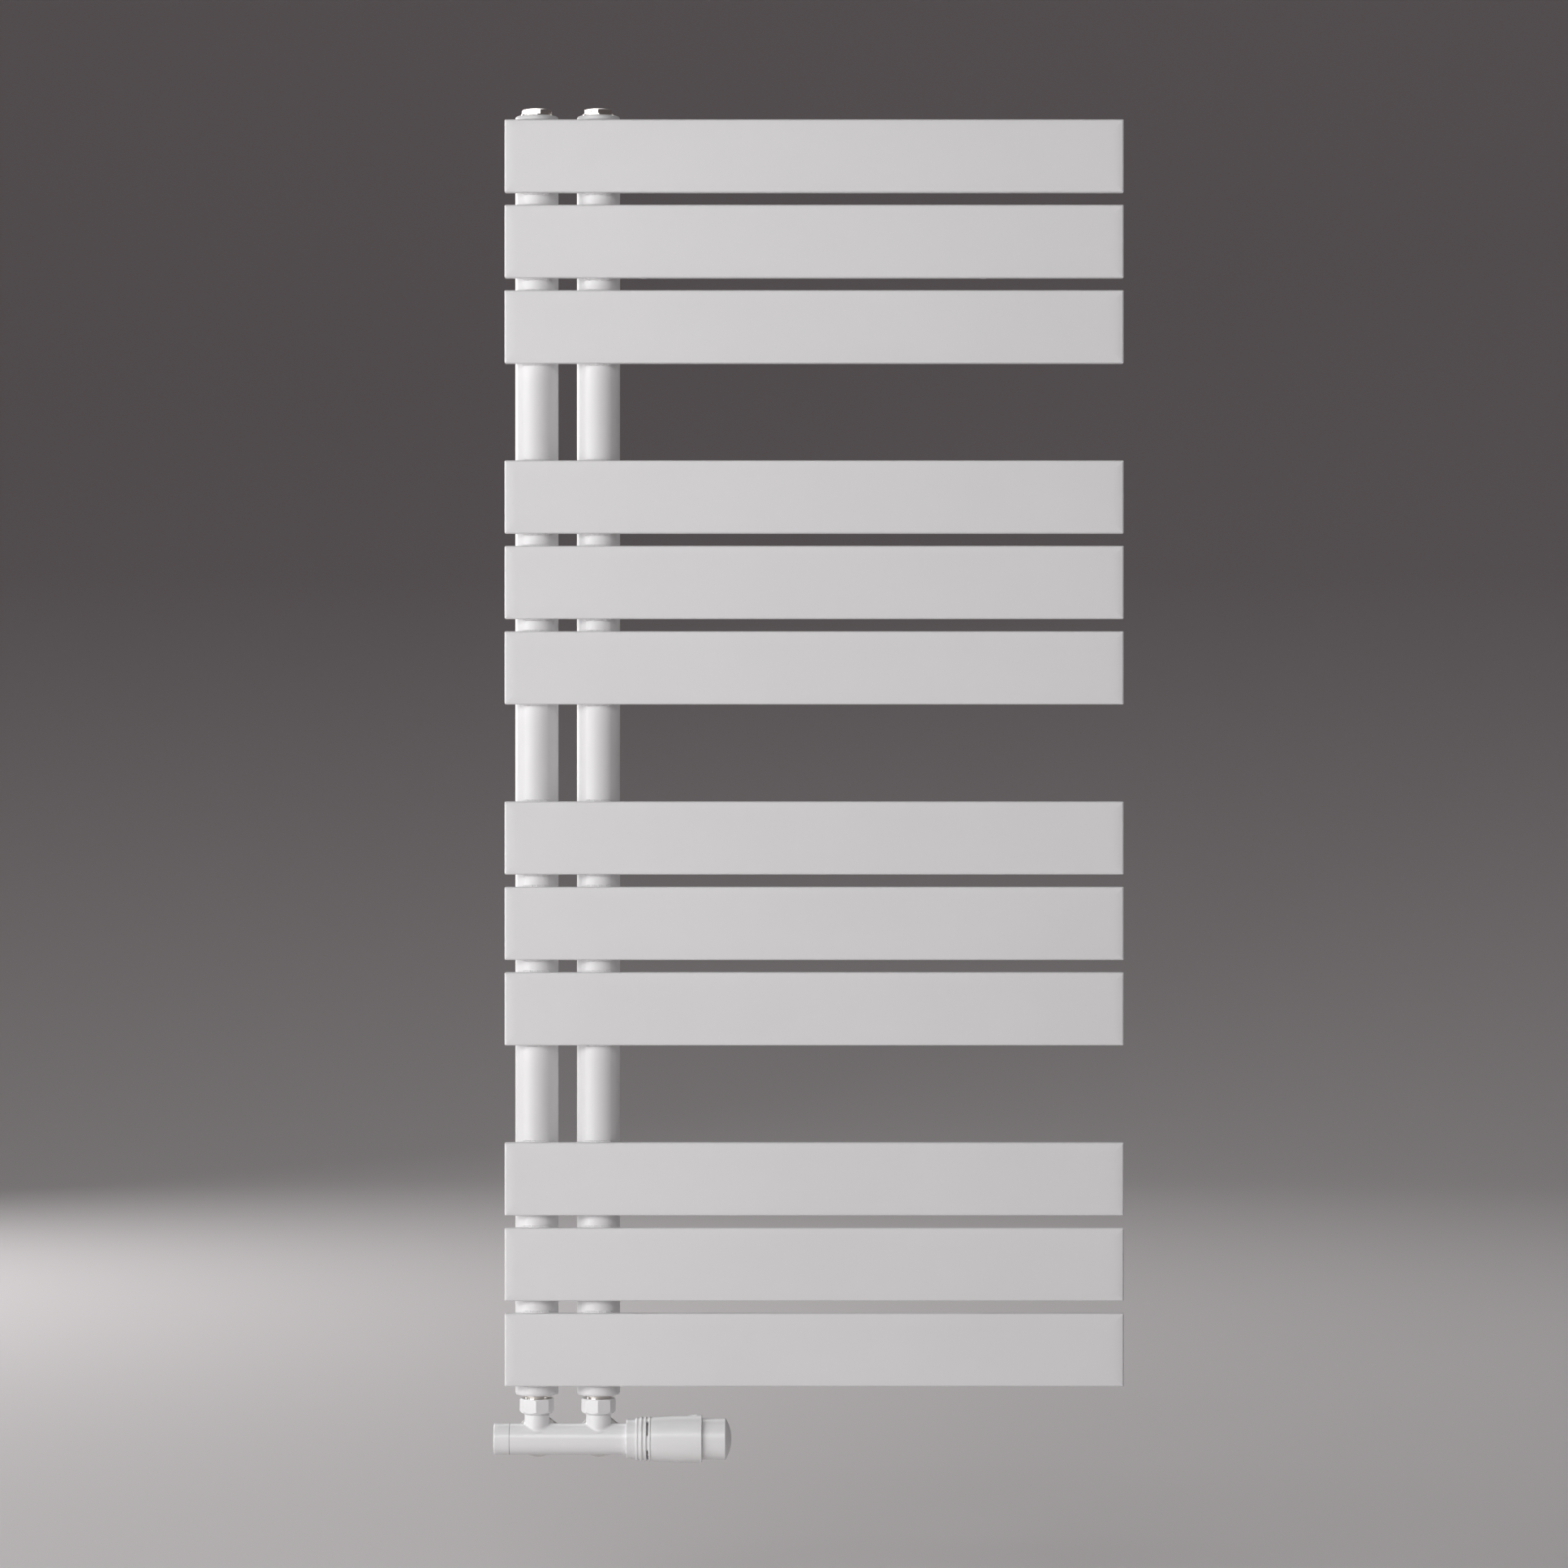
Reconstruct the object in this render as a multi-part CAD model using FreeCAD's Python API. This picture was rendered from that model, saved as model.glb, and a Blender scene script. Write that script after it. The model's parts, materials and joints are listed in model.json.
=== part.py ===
"""Wall-hung towel radiator: flat panels on two upright collectors, with an inline thermostatic valve block.

Frame: millimetres. +X runs along the panels, from the collectors to the free ends, +Y points at the wall and
+Z up. The origin is the middle of the four wall screws, on the wall's face.

The panels come in groups, with a wide gap between groups for towels. The return collector is at the panels'
-X end and the flow collector beside it, and both end below in unions that hold one valve block. Its return
side has a lockshield under a push-on cap, and its flow side a thermostatic insert with a radiator head.
"""

import FreeCAD
import Part
import math
import os

Vector = FreeCAD.Vector
X = Vector(1, 0, 0)
Y = Vector(0, 1, 0)
Z = Vector(0, 0, 1)

# Fits between pieces
THREAD_GAP = 0.1          # radial room of a screwed or plugged fit, drawn without its thread
SLIDE_GAP = 0.1           # radial room of a spindle, pin or telescopic tube
SHELL_GAP = 0.3           # room between moulded parts that turn in each other

# Panels: flat tubes with welded end plates
PANEL_LENGTH = 500.0
PANEL_HEIGHT = 59.0
PANEL_DEPTH = 10.0
PANEL_WALL = 1.6
END_PLATE = 2.0
SHOULDER_WIDTH = 7.0      # the face falls away over this width along every edge
SHOULDER_RADIUS = 60.0
CORNER_RADIUS = 1.6       # front edge, past the shoulder
BACK_RADIUS = 2.0
FACE_CORNER_RADIUS = 1.2  # corners of the face, seen from the front
PANEL_GAP = 10.0
GROUP_GAP = 78.4
PANELS_PER_GROUP = 3
GROUP_COUNT = 4

# Water way inside a panel
BAFFLE_THICKNESS = 1.5
BAFFLE_TURN = 40.0        # open length at the free end, where the water turns back
PORT_RADIUS = 4.5
PORT_OFFSET = 14.0        # the flow port lies this far above the baffle, the return port as far below

# Collectors
COLLECTOR_RADIUS = 17.5
COLLECTOR_WALL = 2.0
COLLECTOR_PITCH = 50.0
COLLECTOR_INSET = 25.0    # panel end to the first collector's axis
COLLECTOR_TO_WALL = 62.0
PANEL_SEAT = 3.0          # how deep the panels sit in the collectors
COLLECTOR_RISE = 5.0      # top of the end boss above the top panel
COLLECTOR_DROP = 9.0      # foot of the end boss below the bottom panel
BOSS_FLANGE = 3.0
BOSS_PLUG = 9.0
BOSS_EDGE = 1.8

# Half-inch threads in the end bosses
HALF_INCH_RADIUS = 10.48
SEAL_POCKET_WIDTH = 2.12
SEAL_POCKET_DEPTH = 1.7

# Top plugs and bleed screw
PLUG_FLATS = 22.0
PLUG_HEX = 4.2
PLUG_FLANGE = 1.3
PLUG_FLANGE_LIP = 0.4      # flange past the seal pocket
PLUG_THREAD = 9.0
PLUG_TURNS = {"return": 15.0, "flow": 0.0}  # how far each hexagon's front corner ends up past the front
BLEED_RADIUS = 3.0
BLEED_HEAD_RADIUS = 4.2
BLEED_POCKET = 3.6
BLEED_KEY = 5.0           # square key
VENT_HOLE_RADIUS = 0.7

# Unions between collectors and valve
UNION_GAP = 3.0           # nipple shank that shows above the nut
NIPPLE_THREAD = 10.0
NIPPLE_BORE = 6.5
NIPPLE_COLLAR = 2.5
NIPPLE_LEDGE = 1.4        # collar past the shank
NUT_WALL = 1.85           # neck thread to the nut's flats
NUT_SIDES = 8
NUT_HEIGHT = 12.4
NUT_LIP = 2.5
NECK_THREAD_RADIUS = 11.0
NECK_STEP = 0.95          # thread to the plain neck below it
GASKET_THICKNESS = 1.5

# Valve block
VALVE_DROP = 36.2         # foot of the collectors to the valve's axis
BLOCK_RADIUS = 12.7
BLOCK_WALL = 3.7
NECK_CHAMFER = 0.9
NECK_FLOOR = 2.0          # chamber to the neck's bore
SEAT_BORE = 4.5
SEAT_LIP_RADIUS = 6.0
SEAT_LIP = 1.1
SEAT_OFFSET = 0.5         # seat floor, inboard of the neck's axis
INLET_DEPTH = 12.0        # narrow bore behind the seat
NECK_HOLE_RADIUS = 3.5
NECK_HOLE_OFFSET = 4.5
PORT_HOLE_RADIUS = 3.0
PORT_HOLE_OFFSET = 6.0
BLOCK_END_RETURN = 22.0   # return neck's axis to the cap's seam
BLOCK_END_FLOW = 22.8     # flow neck's axis to the head's nut
HEAD_THREAD_STEP = 2.2     # head thread past the block
HEAD_THREAD = 6.2

# Pipe connections at the back: three-quarter-inch cone ports, compression nuts and olives for 15 mm pipe
PIPE_RADIUS = 7.5
PIPE_ROOM = 0.05
CONE_THREAD_RADIUS = 13.2
CONE_THREAD = 11.0
CONE_START = 16.5         # valve's axis to the start of the thread
CONE_NECK_RADIUS = 10.5
CONE_MOUTH_RADIUS = 9.2
CONE_DEPTH = 6.0
CONE_BORE_RADIUS = 7.0
CONE_FLOOR = 1.5          # chamber to the floor of the port's bore
PIPE_NUT_WALL = 1.8       # port thread to the nut's flats
PIPE_NUT_LENGTH = 18.0
PIPE_NUT_BACK = 3.0
PIPE_NUT_SKIRT_WALL = 3.8
PIPE_NUT_SKIRT = 7.0      # the round front part of the nut
OLIVE_COLLAR_RADIUS = 11.0
OLIVE_COLLAR = 2.0
OLIVE_TAIL = 4.0
OLIVE_NOSE = 4.5

# Lockshield
CAP_LENGTH = 13.4
CAP_WALL = 1.6
CAP_SPIGOT = 9.0
CAP_FLOOR = 1.8
CAP_CROWN = 0.6
CAP_EDGE = 1.0
LOCK_BONNET_INNER = 14.0  # distances from the return neck's axis
LOCK_BONNET_STEP = 28.0
LOCK_SPINDLE_RADIUS = 4.0
LOCK_COLLAR_LEDGE = 1.4
LOCK_COLLAR_START = 22.0
LOCK_COLLAR = 2.0
LOCK_RING = 1.5
LOCK_HEAD_END = 28.0
LOCK_KEY_FLATS = 5.0
LOCK_KEY_DEPTH = 3.5
LOCK_SCREW_RADIUS = 2.5
LOCK_LIFT = 1.6           # gap between seat and seal as preset
LOCK_SCREW_END = 5.6

# Valve plugs, the same on both sides
SEAL_DISC_LAP = 0.2        # seal past the seat's lip
SEAL_DISC = 1.8
HOLDER_LAP = 0.4           # holder past the seal

# Thermostatic insert, distances from the flow neck's axis
VALVE_LIFT = 1.95         # gap between seat and seal with the head at its middle setting
HOLDER_LENGTH = 2.5
INSERT_START = 12.0
INSERT_FLOOR = 2.0
INSERT_FLANGE_LEDGE = 0.5  # hexagon's flats past the chamber
INSERT_FLANGE = 2.8
PIN_RADIUS = 1.5
PIN_END = 36.0
PIN_COLLAR_START = 23.6
PIN_COLLAR = 1.4
SPRING_CHAMBER_RADIUS = 4.6
GLAND_START = 27.5
GLAND_LENGTH = 5.5
SPRING_RADIUS = 3.5
SPRING_WIRE = 0.45
SPRING_TURNS = 5
GLAND_RING_RADIUS = 2.3
GLAND_RING_WIRE = 0.75

# Radiator head, distances from the flow neck's axis unless they are lengths
HEAD_NUT_WALL = 1.0
HEAD_NUT_LENGTH = 9.7
HEAD_NUT_LIP = 1.5
CAGE_START = 30.0
CAGE_ROOM = 0.2           # cage's bore past the nut
CAGE_WALL = 0.7
RING_PITCH = 3.4
RING_CREST = 1.9
RING_WALLS = (1.2, 1.8, 1.9, 1.9)    # the cage's wall at each ring
GROOVE_WALLS = (1.0, 0.7, 0.7, 1.2)  # and at the groove after it
SLOTTED_GROOVE = 2
SLOT_COUNT = 4
SLOT_ANGLE = 48.0
SLOT_FIRST = 39.0         # middle of the first slot above the front, in degrees
BARREL_START_WALL = 1.95  # the barrel's radius past the cage's bore, at its start, middle and end
BARREL_MIDDLE_WALL = 2.83
BARREL_END_WALL = 3.3
BARREL_END = 84.0
BARREL_STEP = 0.8         # the bore widens here and again at the mouth
MOUTH_STEP = 0.6
MOUTH_DEPTH = 12.0
BARREL_BORE_START = 50.0
CAGE_WEB = 1.8
POINTER_PLACE = 75.0
POINTER_RADIUS = 7.8
POINTER_DEPTH = 1.7

BASE_FLANGE = 1.6
BASE_FLANGE_LEDGE = 1.7    # flange past the sleeve
BASE_DISC = 2.0
BASE_DISC_START = 33.2
BASE_ROOM = 0.4            # room around the sensor capsule
BASE_END = 60.0
BASE_POCKET_END = 32.2

WHEEL_ROOM = 1.0          # wheel inside the barrel's mouth
WHEEL_FLARE = 0.3
WHEEL_SKIRT_ROOM = 0.7     # skirt inside the barrel's bore
WHEEL_START = 54.0
WHEEL_THREAD_START = 55.0
WHEEL_THREAD = 6.0
WHEEL_WALL = 2.0
WHEEL_CYLINDER_END = 103.6
WHEEL_END = 108.0
WHEEL_EDGE = 0.8
WHEEL_THRUST_RADIUS = 5.0

CAPSULE_RADIUS = 9.6
CAPSULE_START = 44.0
CAPSULE_END = 80.0
PUSH_PIN_RADIUS = 2.2
CUP_WALL = 1.7
CUP_START = 64.0
CUP_END = 97.0
CUP_FLOOR = 2.0
OVERTRAVEL_RADIUS = 7.0
OVERTRAVEL_WIRE = 0.7
OVERTRAVEL_TURNS = 4

# Telescopic wall brackets
BRACKET_X = 140.0         # either side of the middle
BRACKET_PANEL = 1         # counted from the top and from the bottom, the first being 0
BRACKET_BOSS_RADIUS = 9.0
BRACKET_BOSS = 6.0
BRACKET_PIN_RADIUS = 6.0
BRACKET_PIN_SPIGOT_RADIUS = 4.0
BRACKET_PIN_REACH = 22.0  # wall to the pin's end at the middle setting
SOCKET_WALL = 2.9
SOCKET_LENGTH = 48.0
SOCKET_FLOOR = 4.0
SCREW_HOLE_RADIUS = 2.75
ROSETTE_WIDTH = 13.0      # rim past the socket
ROSETTE_DEPTH = 8.0
ROSETTE_WALL = 1.6
ROSETTE_EDGE = 2.5
GRUB_RADIUS = 2.0
GRUB_KEY_FLATS = 2.0
GRUB_KEY_DEPTH = 1.5
GRUB_PLACE = 38.0         # wall to the grub screw

# Sizes and places worked out from those above
SEAL_POCKET_RADIUS = HALF_INCH_RADIUS + SEAL_POCKET_WIDTH
PLUG_FLANGE_RADIUS = SEAL_POCKET_RADIUS + PLUG_FLANGE_LIP
NUT_FLATS = 2 * (NECK_THREAD_RADIUS + NUT_WALL)
NIPPLE_COLLAR_RADIUS = NECK_THREAD_RADIUS - SHELL_GAP
NIPPLE_SHANK_RADIUS = NIPPLE_COLLAR_RADIUS - NIPPLE_LEDGE
NECK_RADIUS = NECK_THREAD_RADIUS - NECK_STEP
CHAMBER_RADIUS = BLOCK_RADIUS - BLOCK_WALL
CONE_BORE_END = CHAMBER_RADIUS + CONE_FLOOR
PIPE_BORE = PIPE_RADIUS + PIPE_ROOM
PIPE_NUT_FLATS = 2 * (CONE_THREAD_RADIUS + PIPE_NUT_WALL)
PIPE_NUT_SKIRT_RADIUS = CONE_THREAD_RADIUS + PIPE_NUT_SKIRT_WALL
CAP_SPIGOT_RADIUS = BLOCK_RADIUS - CAP_WALL - SLIDE_GAP
LOCK_FLANGE_RADIUS = (CHAMBER_RADIUS + CAP_SPIGOT_RADIUS) / 2
LOCK_COLLAR_RADIUS = LOCK_SPINDLE_RADIUS + LOCK_COLLAR_LEDGE
SEAL_DISC_RADIUS = SEAT_LIP_RADIUS + SEAL_DISC_LAP
HOLDER_RADIUS = SEAL_DISC_RADIUS + HOLDER_LAP
INSERT_FLANGE_FLATS = 2 * (CHAMBER_RADIUS + INSERT_FLANGE_LEDGE)
PIN_COLLAR_RADIUS = SPRING_CHAMBER_RADIUS - BASE_ROOM
HEAD_THREAD_RADIUS = BLOCK_RADIUS + HEAD_THREAD_STEP
HEAD_NUT_RADIUS = HEAD_THREAD_RADIUS + THREAD_GAP + HEAD_NUT_WALL
BASE_FLANGE_RADIUS = HEAD_THREAD_RADIUS - SHELL_GAP
BASE_NECK_RADIUS = BASE_FLANGE_RADIUS - BASE_FLANGE_LEDGE
BASE_BORE = CAPSULE_RADIUS + BASE_ROOM
CUP_RADIUS = CAPSULE_RADIUS + SLIDE_GAP + CUP_WALL
CAGE_BORE = HEAD_NUT_RADIUS + CAGE_ROOM
BASE_DISC_RADIUS = CAGE_BORE - SHELL_GAP
BARREL_BORE = CAGE_BORE + BARREL_STEP
MOUTH_BORE = BARREL_BORE + MOUTH_STEP
WHEEL_RADIUS = MOUTH_BORE - WHEEL_ROOM
WHEEL_END_RADIUS = WHEEL_RADIUS + WHEEL_FLARE
WHEEL_SKIRT_RADIUS = BARREL_BORE - WHEEL_SKIRT_ROOM
SOCKET_RADIUS = BRACKET_PIN_RADIUS + SLIDE_GAP + SOCKET_WALL
ROSETTE_RADIUS = SOCKET_RADIUS + ROSETTE_WIDTH
PANEL_PITCH = PANEL_HEIGHT + PANEL_GAP
GROUP_HEIGHT = PANELS_PER_GROUP * PANEL_PITCH - PANEL_GAP
GROUP_PITCH = GROUP_HEIGHT + GROUP_GAP
STACK_TOP = (GROUP_COUNT * GROUP_PITCH - GROUP_GAP) / 2
RETURN_X = COLLECTOR_INSET - PANEL_LENGTH / 2
FLOW_X = RETURN_X + COLLECTOR_PITCH
COLLECTOR_Y = -COLLECTOR_TO_WALL
PANEL_BACK = COLLECTOR_Y - COLLECTOR_RADIUS + PANEL_SEAT
PANEL_FRONT = PANEL_BACK - PANEL_DEPTH
COLLECTOR_TOP = STACK_TOP + COLLECTOR_RISE
COLLECTOR_FOOT = -STACK_TOP - COLLECTOR_DROP
COLLECTOR_BORE = COLLECTOR_RADIUS - COLLECTOR_WALL
VALVE_Z = COLLECTOR_FOOT - VALVE_DROP
NUT_TOP = COLLECTOR_FOOT - UNION_GAP
NUT_FOOT = NUT_TOP - NUT_HEIGHT
NECK_TOP = NUT_TOP - NUT_LIP - NIPPLE_COLLAR - GASKET_THICKNESS
BRACKET_Z = STACK_TOP - BRACKET_PANEL * PANEL_PITCH - PANEL_HEIGHT / 2
SEAL_ROOM = 0.05          # an undrawn squeeze: rings just touch what they seal


def turned(outline, base, direction):
    """A solid of revolution. The outline's points are (distance from base along direction, radius)."""
    flat = [Vector(along, radius, 0) for along, radius in outline]
    solid = Part.Face(Part.makePolygon(flat + flat[:1])).revolve(Vector(), X, 360)
    solid.Placement = FreeCAD.Placement(base, FreeCAD.Rotation(X, direction))
    return solid


def rod(radius, start, end, base, direction):
    return Part.makeCylinder(radius, end - start, base + direction * start, direction)


def tube(radius, bore, start, end, base, direction):
    return rod(radius, start, end, base, direction).cut(rod(bore, start, end, base, direction))


def prism(sides, flats, start, end, base, direction, corner):
    """A regular prism across its flats, with one edge on the side that the vector corner points to."""
    reach = flats / 2 / math.cos(math.pi / sides)
    across = direction.cross(corner)
    points = []
    for i in range(sides + 1):
        angle = 2 * math.pi * (i % sides) / sides
        points.append(base + direction * start + (corner * math.cos(angle) + across * math.sin(angle)) * reach)
    return Part.Face(Part.makePolygon(points)).extrude(direction * (end - start))


def block(low, high):
    size = Vector(*high) - Vector(*low)
    return Part.makeBox(size.x, size.y, size.z, Vector(*low))


def o_ring(radius, wire, base, direction):
    return Part.makeTorus(radius, wire, base, direction)


def coil_spring(radius, wire, turns, start, end, base, direction):
    """A coil between two planes, its wire inside them."""
    height = end - start - 2 * wire
    path = Part.makeHelix(height / turns, height, radius)
    section = Part.Wire(Part.makeCircle(wire, Vector(radius, 0, 0), Y))
    coil = Part.Wire(path.Edges).makePipeShell([section], True, True)
    coil.Placement = FreeCAD.Placement(base + direction * (start + wire), FreeCAD.Rotation(Z, direction))
    return coil


def dome(rim, tip):
    """The arc from a rim over to the tip on the axis, as part of a sphere centred on the axis."""
    height = tip.x - rim.x
    radius = (rim.y ** 2 + height ** 2) / (2 * height)
    half = math.asin(rim.y / radius) / 2
    middle = Vector(tip.x - radius * (1 - math.cos(half)), radius * math.sin(half), 0)
    return Part.Arc(rim, middle, tip).toShape()


def pillow_face(width, along):
    """A panel's outline across one of its widths, with shoulders and corners, in the plane of Y and along."""
    tilt = math.asin(SHOULDER_WIDTH / SHOULDER_RADIUS)
    drop = SHOULDER_RADIUS * (1 - math.cos(tilt))
    shoulder_end = width / 2 - CORNER_RADIUS * (1 - math.sin(tilt))
    flat_end = shoulder_end - SHOULDER_WIDTH
    corner_y = PANEL_FRONT + drop + CORNER_RADIUS * math.cos(tilt)
    corner_a = width / 2 - CORNER_RADIUS
    half_tilt = tilt / 2
    half_turn = (math.pi / 2 - tilt) / 2
    slant = math.sqrt(0.5)
    side_back = PANEL_BACK - BACK_RADIUS

    def at(a, y):
        return along * a + Y * y

    def half(sign):
        """One side's edges, from the flat face round to the flat back."""
        face = at(sign * flat_end, PANEL_FRONT)
        shoulder_middle = at(
            sign * (flat_end + SHOULDER_RADIUS * math.sin(half_tilt)),
            PANEL_FRONT + SHOULDER_RADIUS * (1 - math.cos(half_tilt)),
        )
        shoulder = at(sign * shoulder_end, PANEL_FRONT + drop)
        corner_middle = at(
            sign * (corner_a + CORNER_RADIUS * math.cos(half_turn)),
            corner_y - CORNER_RADIUS * math.sin(half_turn),
        )
        side = at(sign * width / 2, corner_y)
        side_end = at(sign * width / 2, side_back)
        back_middle = at(
            sign * (width / 2 - BACK_RADIUS * (1 - slant)), PANEL_BACK - BACK_RADIUS * (1 - slant)
        )
        back = at(sign * (width / 2 - BACK_RADIUS), PANEL_BACK)
        edges = [
            Part.Arc(face, shoulder_middle, shoulder).toShape(),
            Part.Arc(shoulder, corner_middle, side).toShape(),
            Part.makeLine(side, side_end),
            Part.Arc(side_end, back_middle, back).toShape(),
        ]
        return face, back, edges

    face_high, back_high, high = half(1)
    face_low, back_low, low = half(-1)
    rim = high + [Part.makeLine(back_high, back_low)] + low[::-1] + [Part.makeLine(face_low, face_high)]
    return Part.Face(Part.Wire(Part.__sortEdges__(rim)))


def rounded_face():
    """The panel as seen from the front."""
    plate = block(
        (-PANEL_LENGTH / 2, PANEL_FRONT, -PANEL_HEIGHT / 2), (PANEL_LENGTH / 2, PANEL_BACK, PANEL_HEIGHT / 2)
    )
    corners = [edge for edge in plate.Edges if abs(edge.tangentAt(edge.FirstParameter).y) > 0.5]
    return plate.makeFillet(FACE_CORNER_RADIUS, corners)


def panel_form():
    """The outside of one panel, at the middle of the frame's height."""
    long_way = pillow_face(PANEL_HEIGHT, Z).extrude(X * PANEL_LENGTH)
    long_way.translate(X * (-PANEL_LENGTH / 2))
    high_way = pillow_face(PANEL_LENGTH, X).extrude(Z * PANEL_HEIGHT)
    high_way.translate(Z * (-PANEL_HEIGHT / 2))
    return long_way.common(high_way).common(rounded_face())


def panel_pieces(form):
    """One panel's tube, its two end plates and its baffle."""
    inner_x = PANEL_LENGTH / 2 - END_PLATE
    inner_z = PANEL_HEIGHT / 2 - PANEL_WALL
    front = PANEL_FRONT + PANEL_WALL
    back = PANEL_BACK - PANEL_WALL
    beyond = PANEL_LENGTH
    middle = block((-inner_x, PANEL_FRONT, -PANEL_HEIGHT / 2), (inner_x, PANEL_BACK, PANEL_HEIGHT / 2))
    hollow = block((-beyond, front, -inner_z), (beyond, back, inner_z))
    long_edges = [edge for edge in hollow.Edges if abs(edge.tangentAt(edge.FirstParameter).x) > 0.5]
    hollow = hollow.makeFillet(CORNER_RADIUS, long_edges)
    flow_port = rod(PORT_RADIUS, -PANEL_WALL, PANEL_WALL, Vector(FLOW_X, back, PORT_OFFSET), Y)
    return_port = rod(PORT_RADIUS, -PANEL_WALL, PANEL_WALL, Vector(RETURN_X, back, -PORT_OFFSET), Y)
    shell = form.common(middle).cut(hollow).cut(flow_port).cut(return_port)
    ends = form.cut(middle).Solids
    baffle = block(
        (-inner_x, front, -BAFFLE_THICKNESS / 2), (inner_x - BAFFLE_TURN, back, BAFFLE_THICKNESS / 2)
    )
    return shell, ends, baffle


def panel_heights():
    """The panels' middles, from the top down."""
    heights = []
    for group in range(GROUP_COUNT):
        for place in range(PANELS_PER_GROUP):
            heights.append(STACK_TOP - group * GROUP_PITCH - place * PANEL_PITCH - PANEL_HEIGHT / 2)
    return heights


def collector(x, forms):
    """An upright tube with a flat seat for each panel, opened where the panel's port joins it."""
    foot = Vector(x, COLLECTOR_Y, COLLECTOR_FOOT + BOSS_FLANGE)
    length = COLLECTOR_TOP - COLLECTOR_FOOT - 2 * BOSS_FLANGE
    return tube(COLLECTOR_RADIUS, COLLECTOR_BORE, 0, length, foot, Z).cut(forms)


def end_boss(x, top):
    """The welded end of a collector, with its half-inch thread and a pocket for the seal at the mouth."""
    base = Vector(x, COLLECTOR_Y, COLLECTOR_TOP if top else COLLECTOR_FOOT)
    plug_radius = COLLECTOR_BORE - THREAD_GAP
    outline = [
        (0, HALF_INCH_RADIUS),
        (0, COLLECTOR_RADIUS - BOSS_EDGE),
        (BOSS_EDGE * 0.3, COLLECTOR_RADIUS - BOSS_EDGE * 0.3),
        (BOSS_EDGE, COLLECTOR_RADIUS),
        (BOSS_FLANGE, COLLECTOR_RADIUS),
        (BOSS_FLANGE, plug_radius),
        (BOSS_FLANGE + BOSS_PLUG, plug_radius),
        (BOSS_FLANGE + BOSS_PLUG, HALF_INCH_RADIUS),
    ]
    inward = -Z if top else Z
    pocket = rod(SEAL_POCKET_RADIUS, 0, SEAL_POCKET_DEPTH, base, inward)
    return turned(outline, base, inward).cut(pocket)


def mouth_seals(z, inward):
    """The rings in the two collectors' seal pockets at one end."""
    wire = SEAL_POCKET_DEPTH / 2 - SEAL_ROOM
    radius = SEAL_POCKET_RADIUS - wire - SEAL_ROOM
    return [
        o_ring(radius, wire, Vector(x, COLLECTOR_Y, z) + inward * (SEAL_POCKET_DEPTH / 2), Z)
        for x in (RETURN_X, FLOW_X)
    ]


def top_plug(x, turn):
    """A nickelled hexagon plug, before any bleed screw."""
    base = Vector(x, COLLECTOR_Y, COLLECTOR_TOP)
    top = PLUG_FLANGE + PLUG_HEX
    half = PLUG_FLATS / 2
    corner = half / math.cos(math.pi / 6)
    hexagon = prism(6, PLUG_FLATS, PLUG_FLANGE, top, base, Z, FreeCAD.Rotation(Z, turn).multVec(-Y))
    chamfer = turned(
        [(0, 0), (0, corner), (top - (corner - half) / 2, corner), (top, half - (corner - half) / 2), (top, 0)],
        base,
        Z,
    )
    flange = rod(PLUG_FLANGE_RADIUS, 0, PLUG_FLANGE, base, Z)
    thread = rod(HALF_INCH_RADIUS - THREAD_GAP, -PLUG_THREAD, 0, base, Z)
    return hexagon.common(chamfer).fuse([flange, thread]).removeSplitter()


def vent_plug_and_screw():
    """The flow collector's plug with its bleed screw: a square-headed needle that closes the vent hole."""
    base = Vector(FLOW_X, COLLECTOR_Y, COLLECTOR_TOP)
    top = PLUG_FLANGE + PLUG_HEX
    floor = top - BLEED_POCKET
    pocket = rod(BLEED_HEAD_RADIUS, floor, top, base, Z)
    bore = rod(BLEED_RADIUS, -PLUG_THREAD / 2, floor, base, Z)
    throat = rod(VENT_HOLE_RADIUS, -PLUG_THREAD, 0, base, Z)
    outwards = FreeCAD.Rotation(Z, PLUG_TURNS["flow"] - 30).multVec(-Y)
    vent = rod(VENT_HOLE_RADIUS, 0, PLUG_FLATS, base + Z * (floor + VENT_HOLE_RADIUS * 2), outwards)
    plug = top_plug(FLOW_X, PLUG_TURNS["flow"]).cut([pocket, bore, throat, vent])
    shank = rod(BLEED_RADIUS - SLIDE_GAP, -PLUG_THREAD / 2 + SLIDE_GAP, floor, base, Z)
    collar = rod(BLEED_HEAD_RADIUS - SLIDE_GAP, floor, floor + VENT_HOLE_RADIUS, base, Z)
    key = prism(4, BLEED_KEY, floor, top - SLIDE_GAP, base, Z, -Y)
    rounded = rod(BLEED_HEAD_RADIUS - SHELL_GAP, floor, top, base, Z)
    return plug, shank.fuse([collar, key.common(rounded)]).removeSplitter()


def tail_nipple(x):
    """The half-inch nipple that holds the union nut captive under a collector."""
    base = Vector(x, COLLECTOR_Y, COLLECTOR_FOOT)
    thread = HALF_INCH_RADIUS - THREAD_GAP
    collar_top = UNION_GAP + NUT_LIP
    outline = [
        (-NIPPLE_THREAD, NIPPLE_BORE),
        (-NIPPLE_THREAD, thread),
        (0, thread),
        (0, SEAL_POCKET_RADIUS),
        (UNION_GAP / 3, SEAL_POCKET_RADIUS),
        (UNION_GAP / 3, NIPPLE_SHANK_RADIUS),
        (collar_top, NIPPLE_SHANK_RADIUS),
        (collar_top, NIPPLE_COLLAR_RADIUS),
        (collar_top + NIPPLE_COLLAR, NIPPLE_COLLAR_RADIUS),
        (collar_top + NIPPLE_COLLAR, NIPPLE_BORE),
    ]
    return turned(outline, base, -Z)


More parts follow.
